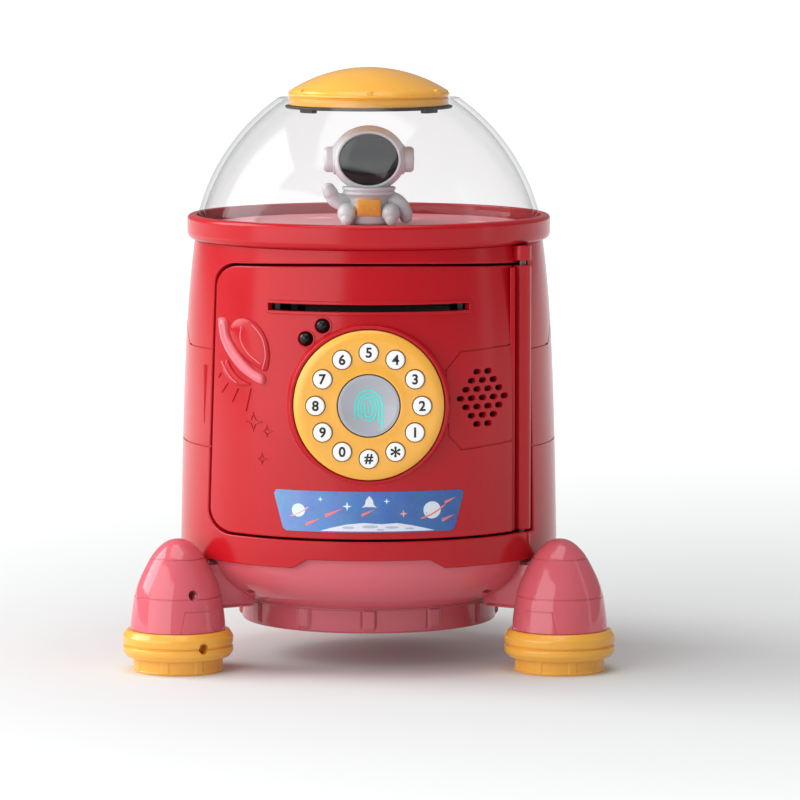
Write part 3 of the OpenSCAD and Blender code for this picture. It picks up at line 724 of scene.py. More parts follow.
def knuckle(z0, z1):
    """Fixed hinge knuckle: a bored drum with a web back to the shell."""
    ring = rounded([(PIN_R + 0.05, z0), (BARREL_R, z0), (BARREL_R, z1), (PIN_R + 0.05, z1)], 0.3)
    web = block((COLUMN_X + 0.3, HINGE_X + BARREL_R - 0.2), (HINGE_Y + 1.6, HINGE_Y + 7.6), (z0, z1), 0.4)
    return [lathe(ring, 48, centre=(HINGE_X, HINGE_Y)), web]


jamb = lathe(rounded([(JAMB_R, DOOR_Z0 - 1.6), (JAMB_R + 1.6, DOOR_Z0 - 1.6),
    (JAMB_R + 1.6, KNUCKLE_Z0 + 1.6), (JAMB_R, KNUCKLE_Z0 + 1.6)], 0.3), 40, centre=(HINGE_X, HINGE_Y),
    arc=(62, 108))
shell_sheet = skin(on_shell, shell_loop, [door_hole, coin_hole], shell_lines, edge=0.5, hole_edge=0.55,
    seam=5.0)
inner_r = mid_r - WALL
chute = [block((-16.8, 16.8), (60.5, inner_r - 0.4), z, 0.4) for z in ((147.6, 149.3), (152.7, 154.4))]
chute += [block(x, (60.5, inner_r - 1.6), (149, 153), 0.4) for x in ((-16.8, -15.1), (15.1, 16.8))]
strike = block((-66, -59), (-36.8, -35.3), (98.2, 121.8), 0.4)
piece("shell", [shell_sheet, jamb, strike, *chute, *knuckle(KNUCKLE_Z0, SHELL_Z1 - 0.2),
    *knuckle(50, DOOR_Z0 - 1.2)], RED, "root", ["body_shell"])

# ---------------------------------------------------------------- rim, dome, cap, floor

rim_profile = rounded([(62, SHELL_Z1), (RIM_R, SHELL_Z1, 2.6), (RIM_R, RIM_TOP, 2.4),
    (69.6, RIM_TOP, 0.5), (69.6, SHELL_Z1 + 2.2, 0.3), (62, SHELL_Z1 + 2.2)], 0.3, steps=8)
piece("rim", lathe(rim_profile, 220), RED, "root", ["rim_ring"])

DOME_R, DOME_WALL, DOME_OFF_AXIS, DOME_Z = 82.8, 2.0, -11, 158.8


def dome_side(z, r):
    """Distance from the axis of a dome wall that is an arc of radius r."""
    return DOME_OFF_AXIS + sqrt(r * r - (z - DOME_Z) ** 2)


heights = np.linspace(RIM_TOP + 0.6, DOME_TOP, 40)
outer = [(dome_side(z, DOME_R), z) for z in heights]
inner = [(dome_side(z, DOME_R - DOME_WALL), z) for z in heights[::-1]]
piece("clear_dome", lathe([(69.2, DOME_FOOT), *outer, *inner, (67.1, DOME_FOOT)], 200), CLEAR, "root",
    ["dome"]).visible_shadow = False

cap_ball = 59.1
edge_z = CAP_TOP - cap_ball + sqrt(cap_ball ** 2 - CAP_R ** 2)
crown = [(cap_ball * sin(a), CAP_TOP - cap_ball + cap_ball * cos(a))
    for a in np.linspace(asin((CAP_R - 0.5) / cap_ball), 0, 26)]
cap_profile = ([(0, 225.8)] + rounded([(30.2, 225.8), (30.2, 223.7), (32.2, 223.7), (32.2, 226.6),
    (31.2, 227.4), (CAP_R, 227.6), (CAP_R, edge_z)], 0.35)[1:] + crown)
cap_parts = [lathe(cap_profile, 180)]
for a in range(30, 360, 60):
    cap_parts.append(block((CAP_R - 3.6, CAP_R - 0.25), (-1.5, 1.5), (edge_z - 1.4, edge_z + 1.5),
        0.5).moved(a))
piece("cap", cap_parts, YELLOW, "root", ["dome_cap"])
# The clips and a thin ring under the cap's edge are dark plastic: painted shade, the darkness seen through
# the clear dome at the cap's edge
hooks = [block((29.3, 32.1), (-4, 4), (221.2, 223.4), 0.35).moved(a) for a in (38, 90, 142, 218, 322)]
painted_shade_ring = lathe(rounded([(29.6, 222.5), (33.6, 222.5), (33.9, 223.5), (29.6, 223.6)], 0.3), 160)
piece("cap_hooks", [painted_shade_ring, *hooks], DARK, "root")

CRATERS = [(30, -18, 7), (-34, -8, 8), (12, 30, 10), (-20, 36, 6), (44, 12, 5), (-12, -34, 5),
    (0, -52, 4), (-50, 16, 5), (52, -22, 4)]


def craters(q):
    h = np.zeros(len(q))
    for x, y, r in CRATERS:
        d = np.hypot(q[:, 0] - x, q[:, 1] - y) / r
        h -= 0.7 * np.clip(1 - d ** 2, 0, 1) ** 0.7
    return h


floor_z = box("dome_floor")[1][2]
crater_lines = [(circle(x, y, r * k, 28), True) for x, y, r in CRATERS for k in (0.97, 1.02, 0.7)]
piece("moon_floor", skin(lambda u, v, h: np.stack([u, v, floor_z - 0.05 + h + 0 * u], -1),
    circle(0, 0, 65.6, 120), relief=craters, chains=crater_lines, back=-3.2, step=5.0), MOON, "root",
    ["dome_floor"])

# ---------------------------------------------------------------- astronaut

seat_z = box("astronaut_body")[0][2]
figure = [lathe(rounded([(0, seat_z), (9.4, seat_z, 1.2), (9.9, seat_z + 4, 2), (8.5, seat_z + 8.4, 2),
    (8.9, seat_z + 11, 1.5), (9.9, seat_z + 11.6, 0.5), (10.6, seat_z + 12.2, 0.5),
    (10.6, seat_z + 13, 0.4), (10.0, seat_z + 13.3, 0.2), (10.9, seat_z + 13.9, 0.5),
    (10.9, seat_z + 14.9, 0.5), (8, seat_z + 15.2, 0.4), (0, seat_z + 15.2)], 0.5, closed=False), 96),
    block((-10.4, 10.4), (2, 8.6), (seat_z + 2, seat_z + 13), 2.2)]


def bone(*joints):
    """A limb of the figure through points given as x, y, height above the seat and radius."""
    return limb([(x, y, seat_z + z) for x, y, z, _ in joints], [r for *_, r in joints])


def badge(x, y, z, r):
    """A yellow block on the chest, with its heights given above the seat."""
    return block(x, y, (seat_z + z[0], seat_z + z[1]), r, mat=1)


for s in (-1, 1):
    figure += [bone((s * 7.6, -1, 3.9, 3.6), (s * 8.6, -6, 4.6, 4.1), (s * 8.9, -9.2, 4.5, 3.7)),
        bone((s * 8.9, -9.6, 3.0, 2.9), (s * 8.9, -11.2, 2.4, 2.5))]
figure += [bone((-7.4, -0.6, 10.3, 3.1), (-11.2, -2.4, 9.0, 3.3), (-14.0, -3.2, 10.2, 3.1),
    (-15.2, -3.4, 12.0, 2.8)), bone((-15.5, -3.5, 12.6, 3.1), (-16.2, -3.5, 14.0, 2.7)),
    bone((7.4, -0.6, 10.3, 3.1), (11.0, -2.2, 9.2, 3.2), (13.8, -3.2, 6.6, 3.0), (14.6, -3.4, 4.6, 2.8)),
    bone((14.8, -3.5, 4.0, 3.0), (15.0, -3.5, 2.9, 2.6)), badge((-4.9, 4.9), (-10.2, -6.5), (3.4, 10.2),
    0.6), badge((-4.1, 4.1), (-10.5, -9.9), (4.1, 9.5), 0.2)]
for x, z, w, t in ((-2.4, 7.9, 2.4, 0.5), (1.9, 7.9, 3.0, 0.5), (-2.4, 6.3, 1.2, 1.0),
        (0.0, 6.3, 1.2, 1.0), (2.6, 6.3, 1.2, 1.0), (-1.6, 5.0, 3.6, 0.4)):
    figure.append(badge((x - w / 2, x + w / 2), (-10.8, -10.3), (z - t / 2, z + t / 2), 0.12))
piece("astronaut_suit", figure, [SUIT, YELLOW], "root", ["astronaut_body"])

HELMET_R, HELMET_Z = 13.4, 202.0
WIDE = 15.2 / HELMET_R
lip = asin(11.7 / HELMET_R)
ball = [(HELMET_R * sin(a), -HELMET_R * cos(a)) for a in np.linspace(pi, lip, 48)]
ball[0] = (0, HELMET_R)
lip_y = ball[-1][1]
shell_of_helmet = ball + rounded([ball[-1], (11.3, lip_y - 0.75, 0.3), (10.6, lip_y - 0.55, 0.3),
    (10.5, lip_y + 0.9, 0.2), (0, lip_y + 0.9)], 0.3, closed=False)[1:]
helmet = lathe(shell_of_helmet, 128, axis="y").moved(scale=(WIDE, 1, 1), at=(0, 0, HELMET_Z))
EAR_Y, EAR_Z = 0.5, 201.6
cup = rounded([(0, 12.6), (5.2, 12.6), (5.2, 17.0, 1.2), (4.4, 18.2, 0.8), (0, 18.5)], 0.5, closed=False)
band = rounded([(0, 12.0), (6.1, 12.0), (6.1, 14.4, 0.7), (0, 14.9)], 0.4, closed=False)
ears = []
for s in (-1, 1):
    for part in (lathe(cup, 64), lathe(band, 64)):
        v = part.verts
        ears.append(Part(np.stack([s * v[:, 2], v[:, 0] + EAR_Y, v[:, 1] + EAR_Z], 1), part.faces))
piece("astronaut_helmet_shell", [helmet, *ears], SUIT, "root", ["astronaut_helmet"])
visor_curve = [(r, lip_y + 0.6 - 1.9 * sqrt(max(0, 1 - (r / 10.9) ** 2)))
    for r in np.linspace(0, 10.75, 24)]
visor = lathe(visor_curve + [(10.75, lip_y + 1.4), (0, lip_y + 1.4)], 96, axis="y")
piece("astronaut_visor_glass", visor.moved(scale=(WIDE * 0.99, 1, 0.965), at=(0, 0, HELMET_Z - 0.2)),
    BLACK, "root", ["astronaut_visor"])

# ---------------------------------------------------------------- bowl and nozzle

bowl_corners = [(NOZZLE_Z1 + 26.1, NOZZLE_Z1), (57.4, 27.7), (61.4, 29.9), (65.6, 32.8), (69.4, 36.4),
    (71.6, 39.4), (72.9, 42.1), (73.3, 45.5), (73.3, 49.5)]


def measured(points, step):
    """A soft line through points, and how far along it each of its own points lies."""
    line = np.array(smooth_line(points, step))
    return line, np.concatenate([[0], np.cumsum(norm(np.diff(line, axis=0), axis=1))])


def turned(line, t, ref, start=-90.0):
    """Surface turned from a line of (radius, height) points: u runs round at radius ref, v along the line."""
    way = unit(np.gradient(line, axis=0))

    def surf(u, v, h):
        a = np.radians(start) + np.asarray(u) / ref
        nr, nz = np.interp(v, t, way[:, 1]), -np.interp(v, t, way[:, 0])
        r = np.interp(v, t, line[:, 0]) + h * nr
        z = np.interp(v, t, line[:, 1]) + h * nz
        return np.stack([r * np.cos(a), r * np.sin(a), z], -1)

    return surf


BOWL_REF = 62.0
bowl_line, bowl_t = measured(bowl_corners, 1.0)
bowl_surf = turned(bowl_line, bowl_t, BOWL_REF)
bowl_half = pi * BOWL_REF
t_slot = float(np.interp(31.0, bowl_line[:, 1], bowl_t))
slots = []
for s in (-1, 1):
    tilt, cu = radians(-20 * s), s * radians(49) * BOWL_REF
    slots.append([(cu + x * cos(tilt) - y * sin(tilt), t_slot + x * sin(tilt) + y * cos(tilt)) for x,
        y in stadium(0, 0, 8, 2.2)])
bowl_loop = [(-bowl_half, 0), (bowl_half, 0), (bowl_half, bowl_t[-1]), (-bowl_half, bowl_t[-1])]
bowl_sheet = skin(bowl_surf, bowl_loop, slots, edge=0.3, hole_edge=0.3, back=-2.0, step=3.5, seam=2.0)
floor_of_bowl = skin(lambda u, v, h: np.stack([u, -v, NOZZLE_Z1 + 0.05 - h + 0 * u], -1),
    circle(0, 0, 52.4, 120), [rounded([(-31.6, -27.6), (31.6, -27.6), (31.6, 27.6), (-31.6, 27.6)], 1.5,
    guard=0)] + [circle(42 * cosd(a), 42 * sind(a), 1.3, 16) for a in range(45, 360, 90)], edge=0.2,
    hole_edge=0.3, back=-2.3, step=6.0)
piece("bowl", [bowl_sheet, floor_of_bowl], PINK, "root", ["lower_bowl"])

nozzle_r = 51.7


def rib_at(a, pitch, r, half_width, fall):
    """How far round the middle of the nearest upright rib is, and 1 on that rib and 0 beside it."""
    off = abs((a + pitch / 2) % pitch - pitch / 2) * radians(1) * r
    return off, 1 - min(1, max(0, (off - half_width) / fall))


def nozzle_wave(a, pts):
    """Twelve flat ribs with a fine line on each side, between the nozzle's two rims."""
    off, rib = rib_at(a, 30, nozzle_r, 2.2, 0.3)
    high = (pts[:, 1] > NOZZLE_Z0 + 2.2) & (pts[:, 1] < NOZZLE_Z1 - 0.9) & (pts[:, 0] > 50)
    return np.where(high, 1.05 * rib - (0.45 if 2.5 < off < 3.0 else 0.0), 0)


nozzle_profile = rounded([(46, NOZZLE_Z1), (45, NOZZLE_Z0 + 1), (46.5, NOZZLE_Z0, 0.6),
    (nozzle_r, NOZZLE_Z0, 2.8), (nozzle_r, NOZZLE_Z0 + 2.3, 0), (nozzle_r, NOZZLE_Z0 + 2.5, 0),
    (nozzle_r, NOZZLE_Z1 - 1.2, 0), (nozzle_r, NOZZLE_Z1 - 1.0, 0),
    (nozzle_r + 0.5, NOZZLE_Z1 - 0.6, 0.3), (nozzle_r + 0.5, NOZZLE_Z1)], 0.4, steps=6)
# The nozzle takes the darker pink of painted shade
piece("nozzle", lathe(nozzle_profile, 900, wave=nozzle_wave), PAINTED_SHADE_PINK, "root",
    ["nozzle_ring"])

# ---------------------------------------------------------------- boosters

cone = [(19.1, 16.9), (18.6, 22), (17.4, 30), (16.5, 33.4), (15.3, 36.6), (13.6, 40.2), (11.6, 44),
    (9.8, 46.8), (7.7, 49.2), (5.2, 51.3), (2.6, 52.5), (0.02, 52.9)]
cone_line, cone_t = measured(cone, 0.8)
CONE_REF = 17.0


def up_cone(z):
    return float(np.interp(z, cone_line[:, 1], cone_t))


def booster_half(side):
    """One half of a booster's nose cone and arm, about the booster's own axis."""
    surf = turned(cone_line, cone_t, CONE_REF, 0.0 if side > 0 else 180.0)
    width, height = pi * CONE_REF, cone_t[-1]
    loop = [(0, 0), (width, 0), (width, height), (0, height)]
    middle = width / 2
    lines = [Groove([(-2, up_cone(30.2)), (width + 2, up_cone(30.2))], 0.75, 0.4),
        Groove([(-2, up_cone(45.3)), (width + 2, up_cone(45.3))], 0.7, 0.35),
        Groove([(middle - 7.4, -1), (middle - 5.6, up_cone(25.4)), (middle + 5.6, up_cone(25.4)),
        (middle + 7.4, -1)], 0.6, 0.3)]
    hole = [circle(middle - 1.8, up_cone(32), 2.1, 24)] if side > 0 else []
    parts = [skin(surf, loop, hole, lines, edge=0.12, hole_edge=0.25, back=-1.7, step=1.6)]
    if side > 0:
        well = lathe(rounded([(2.15, -15.9), (3.2, -15.9), (3.2, -4), (0, -4), (0, -5.6),
            (2.15, -5.6)][::-1], 0.05, closed=False, guard=0), 32, axis="y")
        v = well.verts
        parts.append(Part(np.stack([v[:, 0] + 1.8, -v[:, 1], v[:, 2] + 32], 1), well.faces))
    wall = (3.3, 5) if side > 0 else (-5, -3.3)
    deck = (0.03, 5) if side > 0 else (-5, -0.03)
    parts += [block((-32, -11), wall, (24.2, 43.2), 0.5), block((-30.8, -13.5), deck, (24, 25.8), 0.5),
        block((-21, -9), deck, (41.4, 43.2), 0.5)]
    return parts


def foot_wave(a, pts):
    """Shallow upright ribs round the foot's base."""
    _, rib = rib_at(a, 45, 18, 1.5, 0.25)
    low = (pts[:, 1] > 1.0) & (pts[:, 1] < 5.4) & (pts[:, 0] > 16)
    return np.where(low, 0.35 * rib - 0.25, 0)


FOOT = [(0, 0.3), (15.0, 0.3, 0.3), (15.4, 0, 0.2), (17.6, 0, 0.3), (18.15, 0.7, 0.3), (18.15, 1.05, 0),
    (18.15, 1.2, 0), (18.15, 5.2, 0), (18.15, 5.35, 0), (18.2, 5.8, 0.3), (20.6, 5.9, 1.0),
    (22.15, 8.0, 1.6), (22.1, 10.0, 1.0), (21.2, 10.7, 0.15), (22.1, 11.4, 1.0), (22.15, 14.2, 1.8),
    (20.4, 16.7, 1.4), (15.5, 16.8, 0.3), (15.4, 2.2, 0.3), (0, 2.2)]


def foot(name, at, turn, nodes):
    """A booster's yellow foot, with the screw hole between its two rolls."""
    obj = piece(name, lathe(rounded(FOOT, 0.3, steps=5, closed=False), 432, wave=foot_wave).moved(turn,
        at), YELLOW, "root", nodes)
    drill = lathe([(0, 24), (2.3, 24), (2.1, 21.6), (2.1, 17), (0, 17)], 32, axis="y")
    local = np.stack([drill.verts[:, 0], drill.verts[:, 1], drill.verts[:, 2] + 11], 1)
    cut = Part(local, drill.faces).moved(turn, at)
    mesh = bpy.data.meshes.new("drill")
    mesh.from_pydata(((cut.verts + AXIS) * MM).tolist(), [], cut.faces)
    tool = add("drill", mesh)
    mod = obj.modifiers.new("hole", "BOOLEAN")
    mod.operation, mod.solver, mod.object = "DIFFERENCE", "EXACT", tool
    made = final_mesh(obj)
    obj.modifiers.clear()
    obj.data = made
    obj.data.materials.clear()
    obj.data.materials.append(YELLOW)
    bpy.data.objects.remove(tool)


half_a, half_b = booster_half(1), booster_half(-1)
for k, where in enumerate(("back", "left", "right")):
    turn = 90 + 120 * k
    at = (BOOSTER_PITCH_R * cosd(turn), BOOSTER_PITCH_R * sind(turn), 0)
    for tag, half in (("a", half_a), ("b", half_b)):
        piece(f"booster_{where}_{tag}", [p.moved(turn, at) for p in half], PINK, "root",
            [f"booster_{where}_half_{tag}"])
    foot(f"booster_{where}_shoe", at, turn, [f"booster_{where}_foot"])

# ---------------------------------------------------------------- door

grille_rows = [2, 3, 4, 5, 4, 3, 2]
grille = [facing(stadium(45 + 4.4 * (i - (n - 1) / 2), DIAL_Z + 1.5 + 3.44 * (j - 3), 3, 2.1)) for j,
    n in enumerate(grille_rows) for i in range(n)]
slot_hole = facing([(-SLOT_W / 2, SLOT_Z - SLOT_H / 2), (SLOT_W / 2, SLOT_Z - SLOT_H / 2),
    (SLOT_W / 2, SLOT_Z + SLOT_H / 2), (-SLOT_W / 2, SLOT_Z + SLOT_H / 2)])


def slot_lip(q):
    """Raised lip round the banknote slot."""
    d, _ = nearest(q, slot_hole, True)
    t = np.clip((1.4 - d) / 0.4, 0, 1)
    return 0.85 * t * t * (3 - 2 * t)


hexagon = [(57.6, 131.1), (36.3, 129.6), (30.2, 122.4), (31.4, 96.8), (36.6, 91.0), (57.6, 92.9)]
panel_line = Groove(on_front(dense(hexagon, 3.0, False)), 0.85, 0.55)
door_holes = [slot_hole, facing(circle(0, DIAL_Z, 30.5, 96)), *grille]
door_holes += [facing(circle(x, z, 2.8, 28)) for x, z in LEDS]
lip_chains = [(offset(slot_hole, -d, True), True) for d in (1.0, 1.2, 1.4, 1.6)]
door_sheet = skin(on_shell, facing(door_outline(0, COLUMN_X)), door_holes, [panel_line], edge=0.6,
    hole_edge=0.35, relief=slot_lip, chains=lip_chains)
collar = lathe(rounded([(COLLAR_R + 0.9, -66.6), (COLLAR_R + 0.9, -71), (COLLAR_R, -74.6, 1.2),
    (COLLAR_R, COLLAR_Y, 0.5), (29.9, COLLAR_Y, 0.35), (29.9, RECESS_Y, 0.2), (26.4, RECESS_Y, 0.2),
    (26.4, -70.3, 0.2), (30.1, -70.3, 0.2), (30.1, -66.6)], 0.3), 192, axis="y", centre=(0, DIAL_Z))
barrel = lathe(rounded([(PIN_R + 0.05, DOOR_Z0), (BARREL_R, DOOR_Z0), (BARREL_R, BARREL_Z1),
    (PIN_R + 0.05, BARREL_Z1)], 0.35), 64, centre=(HINGE_X, HINGE_Y))
web = block((COLUMN_X - 1.1, COLUMN_X + 0.9), (-48, HINGE_Y + 1.4), (DOOR_Z0 + 0.1, 161.4), 0.4)


def loop_area(loop):
    return sum(a[0] * b[1] - a[1] * b[0] for a, b in zip(loop, [*loop[1:], loop[0]])) / 2


def anticlockwise(loop):
    return loop if loop_area(loop) > 0 else loop[::-1]


def flat(height):
    """Relief of one height all over."""
    return lambda q: np.full(len(q), height)


def beside_planet(points):
    return [(PLANET[0] + x, PLANET[1] + z) for x, z in points]


def emblem(points, height, soft, edge=0.35):
    """A raised shape on the door that rises quickly at its edge and flattens in the middle."""
    points = beside_planet(points)
    loop = anticlockwise(on_front(smooth_line([*points, points[0]], 1.4)[:-1]))

    def puffed(q):
        return (height - edge) * (1 - np.exp(-nearest(q, loop, True)[0] / soft)) + edge

    return skin(on_shell, loop, edge=edge, back=-0.6, step=1.5, relief=puffed)


def ridge(points, width, height=0.45, closed=False, mat=0):
    """A thin raised line on the door. A closed one runs anticlockwise."""
    line = np.array(dense(points, 1.2, closed))
    left, right = offset(line, width / 2, closed), offset(line, -width / 2, closed)
    loop = right if closed else anticlockwise([*map(tuple, right), *map(tuple, left[::-1])])
    return skin(on_shell, facing(loop), [facing(left)] if closed else [], edge=0.2, hole_edge=0.2,
        back=-0.4, step=1.2, relief=flat(height), mat=mat)


# A ringed planet with falling rays and three small stars
PLANET = (-46.8, 127.8)
planet_top = [(-8.9, 8.3), (-7.2, 12.3), (-3.2, 14.2), (1.4, 13.2), (5.2, 9.4), (7.4, 4.2), (7.8, -1.4),
    (6.4, -6.2), (2.8, -5.0), (-1.6, -2.2), (-5.4, 1.6)]
planet_low = [(-11.0, -6.6), (-9.8, -9.6), (-6.4, -12.0), (-2.6, -12.6), (0.4, -11.8), (-3.6, -10.0),
    (-7.0, -6.6), (-9.4, -2.6)]
ring_out = [(-12.2, 13.6), (-11.0, 5.0), (-7.4, -2.0), (-2.0, -7.8), (5.6, -11.4), (6.0, -8.2),
    (1.0, -5.0), (-4.4, 0.6), (-8.0, 6.4), (-9.8, 13.4)]
rays = [((-9.2, -12.2), (-11.6, -16.0)), ((-5.0, -13.8), (-7.4, -19.4)), ((0.2, -13.2), (-1.8, -22.4)),
    ((-12.0, -8.4), (-13.0, -10.4))]
emblems = [emblem(planet_top, 1.5, 1.6), emblem(planet_low, 1.2, 1.2),
    emblem(ring_out, 2.1, 0.5, edge=0.55)]
emblems += [ridge(beside_planet(ray), 0.55) for ray in rays]


def star(x, z, r, waist=0.36):
    """Four-pointed star outline."""
    return [(x + r * k * cosd(a), z + r * k * sind(a)) for a, k in zip([*range(90, 360, 45), 0, 45],
        [1, waist] * 4)]


for x, z, r in ((-45.6, 101.4, 3.4), (-40.2, 98.0, 2.0), (-42.2, 87.0, 1.9)):
    emblems.append(ridge(star(x, z, r), 0.4, 0.35, closed=True))
emblems += [ridge(circle(x, z, 3.35, 28), 0.7, 0.4, closed=True) for x, z in LEDS]
# Thin lines on the planet in the lighter pink: painted highlight along the red relief
painted_highlight_lines = [[(-2.6, 11.0), (-3.0, 6.0), (-0.4, 1.0), (4.8, -3.4)],
    [(1.4, 12.0), (5.4, 7.0), (6.8, 0.0), (5.6, -5.4)], [(-10.9, -3.6), (-9.3, -6.6), (-7.3, -9.6),
    (-4.8, -11.6)]]
# The ring takes the lighter pink of painted highlight
emblems[2].mat = 1
shine = [ridge(beside_planet(smooth_line(line, 1.0)), 0.42, height, mat=1) for line,
    height in zip(painted_highlight_lines, (1.62, 1.45, 1.2))]
piece("door", [door_sheet, collar, barrel, web, *emblems, *shine], [RED, PAINTED_HIGHLIGHT_PINK], "door",
    ["door_panel"])

# ---------------------------------------------------------------- dial


SHOULDER_R, LIP_R = 25.6, 13.6


def on_dial(u, v, h):
    """Flat front of the dial; u is X and v is Z."""
    return np.stack([u, DIAL_Y - h + 0 * u, v], -1)


def dial_form(q):
    """Rounded shoulder at the rim, a shallow trough under the keys and a low lip at the centre."""
    r = np.hypot(q[:, 0], q[:, 1] - DIAL_Z)
    shoulder = -1.5 * np.clip((r - SHOULDER_R) / (DIAL_R - SHOULDER_R), 0, 1) ** 2.4
    return shoulder - 0.35 * np.clip((r - LIP_R) / 1.2, 0, 1)


key_at = [(KEY_PITCH_R * sind(30 * i), DIAL_Z + KEY_PITCH_R * cosd(30 * i)) for i in range(12)]
dial_chains = [(circle(0, DIAL_Z, r, 96), True) for r in (LIP_R, 14.8, SHOULDER_R, 27.0, 28.2)]
dial = skin(on_dial, circle(0, DIAL_Z, DIAL_R, 144), [circle(0, DIAL_Z, FINGER_R + 0.4, 96)]
    + [circle(x, z, KEY_R + 0.35, 40) for x, z in key_at], edge=0.5, hole_edge=0.35,
    back=-(DIAL_BACK - DIAL_Y), step=2.2, relief=dial_form, chains=dial_chains)
piece("dial", dial, YELLOW, "door", ["dial_ring"])


FLANGE_Y, FLANGE_BACK = -73.6, -72.8
DIGIT_SIZE, STAR_SIZE, INK_BOLD, INK_THICK = 5.4, 9.0, 0.15, 0.03


def glyph(text, x, z, y, size):
    """A printed sign standing a hair proud of a surface that faces the front."""
    curve = bpy.data.curves.new("glyph", "FONT")
    curve.body, curve.size, curve.offset, curve.extrude = text, size, INK_BOLD, INK_THICK
    curve.align_x, curve.align_y, curve.resolution_u = "CENTER", "CENTER", 6
    obj = add("glyph", curve)
    mesh = final_mesh(obj)
    v = np.array([p.co[:] for p in mesh.vertices])
    v[:, 0] -= (v[:, 0].min() + v[:, 0].max()) / 2
    v[:, 1] -= (v[:, 1].min() + v[:, 1].max()) / 2
    faces = [list(p.vertices) for p in mesh.polygons]
    bpy.data.objects.remove(obj)
    weld = {}
    first = [weld.setdefault(tuple(np.round(p, 4)), i) for i, p in enumerate(v)]
    faces = [list(dict.fromkeys(first[i] for i in f)) for f in faces]
    return packed(np.stack([x + v[:, 0], y - v[:, 2], z + v[:, 1]], 1), [f for f in faces if len(f) > 2],
        mat=1)


for name, (x, z) in zip(KEYS, key_at):
    lo, hi = box(f"key_{name}")
    face = lo[1] + 0.05
    stem = rounded([(0, face, 0), (KEY_R, face, 0.55), (KEY_R, FLANGE_Y, 0.1),
        (KEY_R + 0.9, FLANGE_Y, 0.2), (KEY_R + 0.9, FLANGE_BACK, 0.2), (2, FLANGE_BACK, 0.2),
        (2, hi[1], 0.3), (0, hi[1], 0)], 0.3, closed=False)
    cap = lathe(stem, 72, axis="y", centre=(x, z))
    sign = glyph(GLYPHS.get(name, name), x, z + 0.1, face - 0.02, STAR_SIZE if name == "star"
        else DIGIT_SIZE)
    piece(f"key_cap_{name}", [cap, sign], [WHITE, INK], f"key_{name}", [f"key_{name}"])

(_, finger_y, _), (_, finger_back, _) = box("fingerprint_button")
DISH_R, DISH = 34.0, 1.79


def dish_y(r):
    """Front of the fingerprint button, which is hollowed by a large ball."""
    return finger_y + np.maximum(0, np.sqrt(DISH_R ** 2 - np.asarray(r) ** 2) - (DISH_R - DISH))


dish = [(r, float(dish_y(r))) for r in np.linspace(0, 10.7, 16)]
flange = FLANGE_BACK - 1
button = lathe(dish + rounded([(10.9, finger_y), (FINGER_R, finger_y, 0.35), (FINGER_R, flange, 0.1),
    (FINGER_R + 1.4, flange, 0.2), (FINGER_R + 1.4, FLANGE_BACK, 0.2), (4, FLANGE_BACK, 0.2),
    (4, finger_back, 0.3), (0, finger_back, 0)], 0.3, closed=False), 128, axis="y", centre=(0, DIAL_Z))


def on_dish(u, v, h):
    r = np.hypot(u, v - DIAL_Z)
    return np.stack([u, dish_y(r) - h, v], -1)


def whorl(points, width=0.62):
    """One printed line of the fingerprint sign."""
    line = np.array(smooth_line(points, 0.6))
    left, right = offset(line, width / 2, False), offset(line, -width / 2, False)
    last = line[-1] - line[-2]
    loop = anticlockwise([*map(tuple, right), tuple(line[-1] + last / norm(last) * width * 0.4),
        *map(tuple, left[::-1])])
    return skin(on_dish, [(x, DIAL_Z + z) for x, z in loop], edge=0.03, back=-0.05, step=0.8,
        relief=flat(0.07), mat=1)


def arch(half, top, left_end, right_end):
    """An arch of the fingerprint: up one side, over the top and down the other."""
    return [(-half, left_end), (-half, top - half * 1.05), (-half * 0.72, top - half * 0.34), (0, top),
        (half * 0.72, top - half * 0.34), (half, top - half * 1.05), (half, right_end)]


prints = [whorl(arch(5.2, 6.1, -5.2, -9.2)), whorl(arch(3.9, 4.6, -4.4, -6.6)),
    whorl([(-2.7, -5.2), (-2.75, 0.6), (-1.9, 2.6), (0, 3.2), (1.9, 2.6), (2.7, 0.6), (2.7, -3.4),
    (1.9, -5.3), (0.2, -6.1), (-1.4, -5.4)]), whorl([(-1.45, 1.0), (-1.45, -2.8), (-0.9, -4.2), (0, -4.5),
    (0.9, -4.2), (1.45, -2.8), (1.45, 0.6), (0.8, 1.7), (0.0, 1.8)]), whorl([(0.0, 0.5), (0.0, -3.0)])]
piece("finger_pad", [button, *prints], [SILVER, CYAN], "fingerprint_button",
    ["fingerprint_button"])

lenses = []
for x, z in LEDS:
    y = -sqrt(float(shell_out(z)) ** 2 - x * x)
    ball_y = [(2.6 * sin(a), y + 1 - 2.6 * cos(a)) for a in np.linspace(0, pi / 2, 12)]
    lenses.append(lathe(ball_y + [(2.6, y + 5), (0, y + 5)], 48, axis="y", centre=(x, z)))
piece("led_lenses", lenses, BLACK, "door", ["indicator_leds"])

# ---------------------------------------------------------------- label


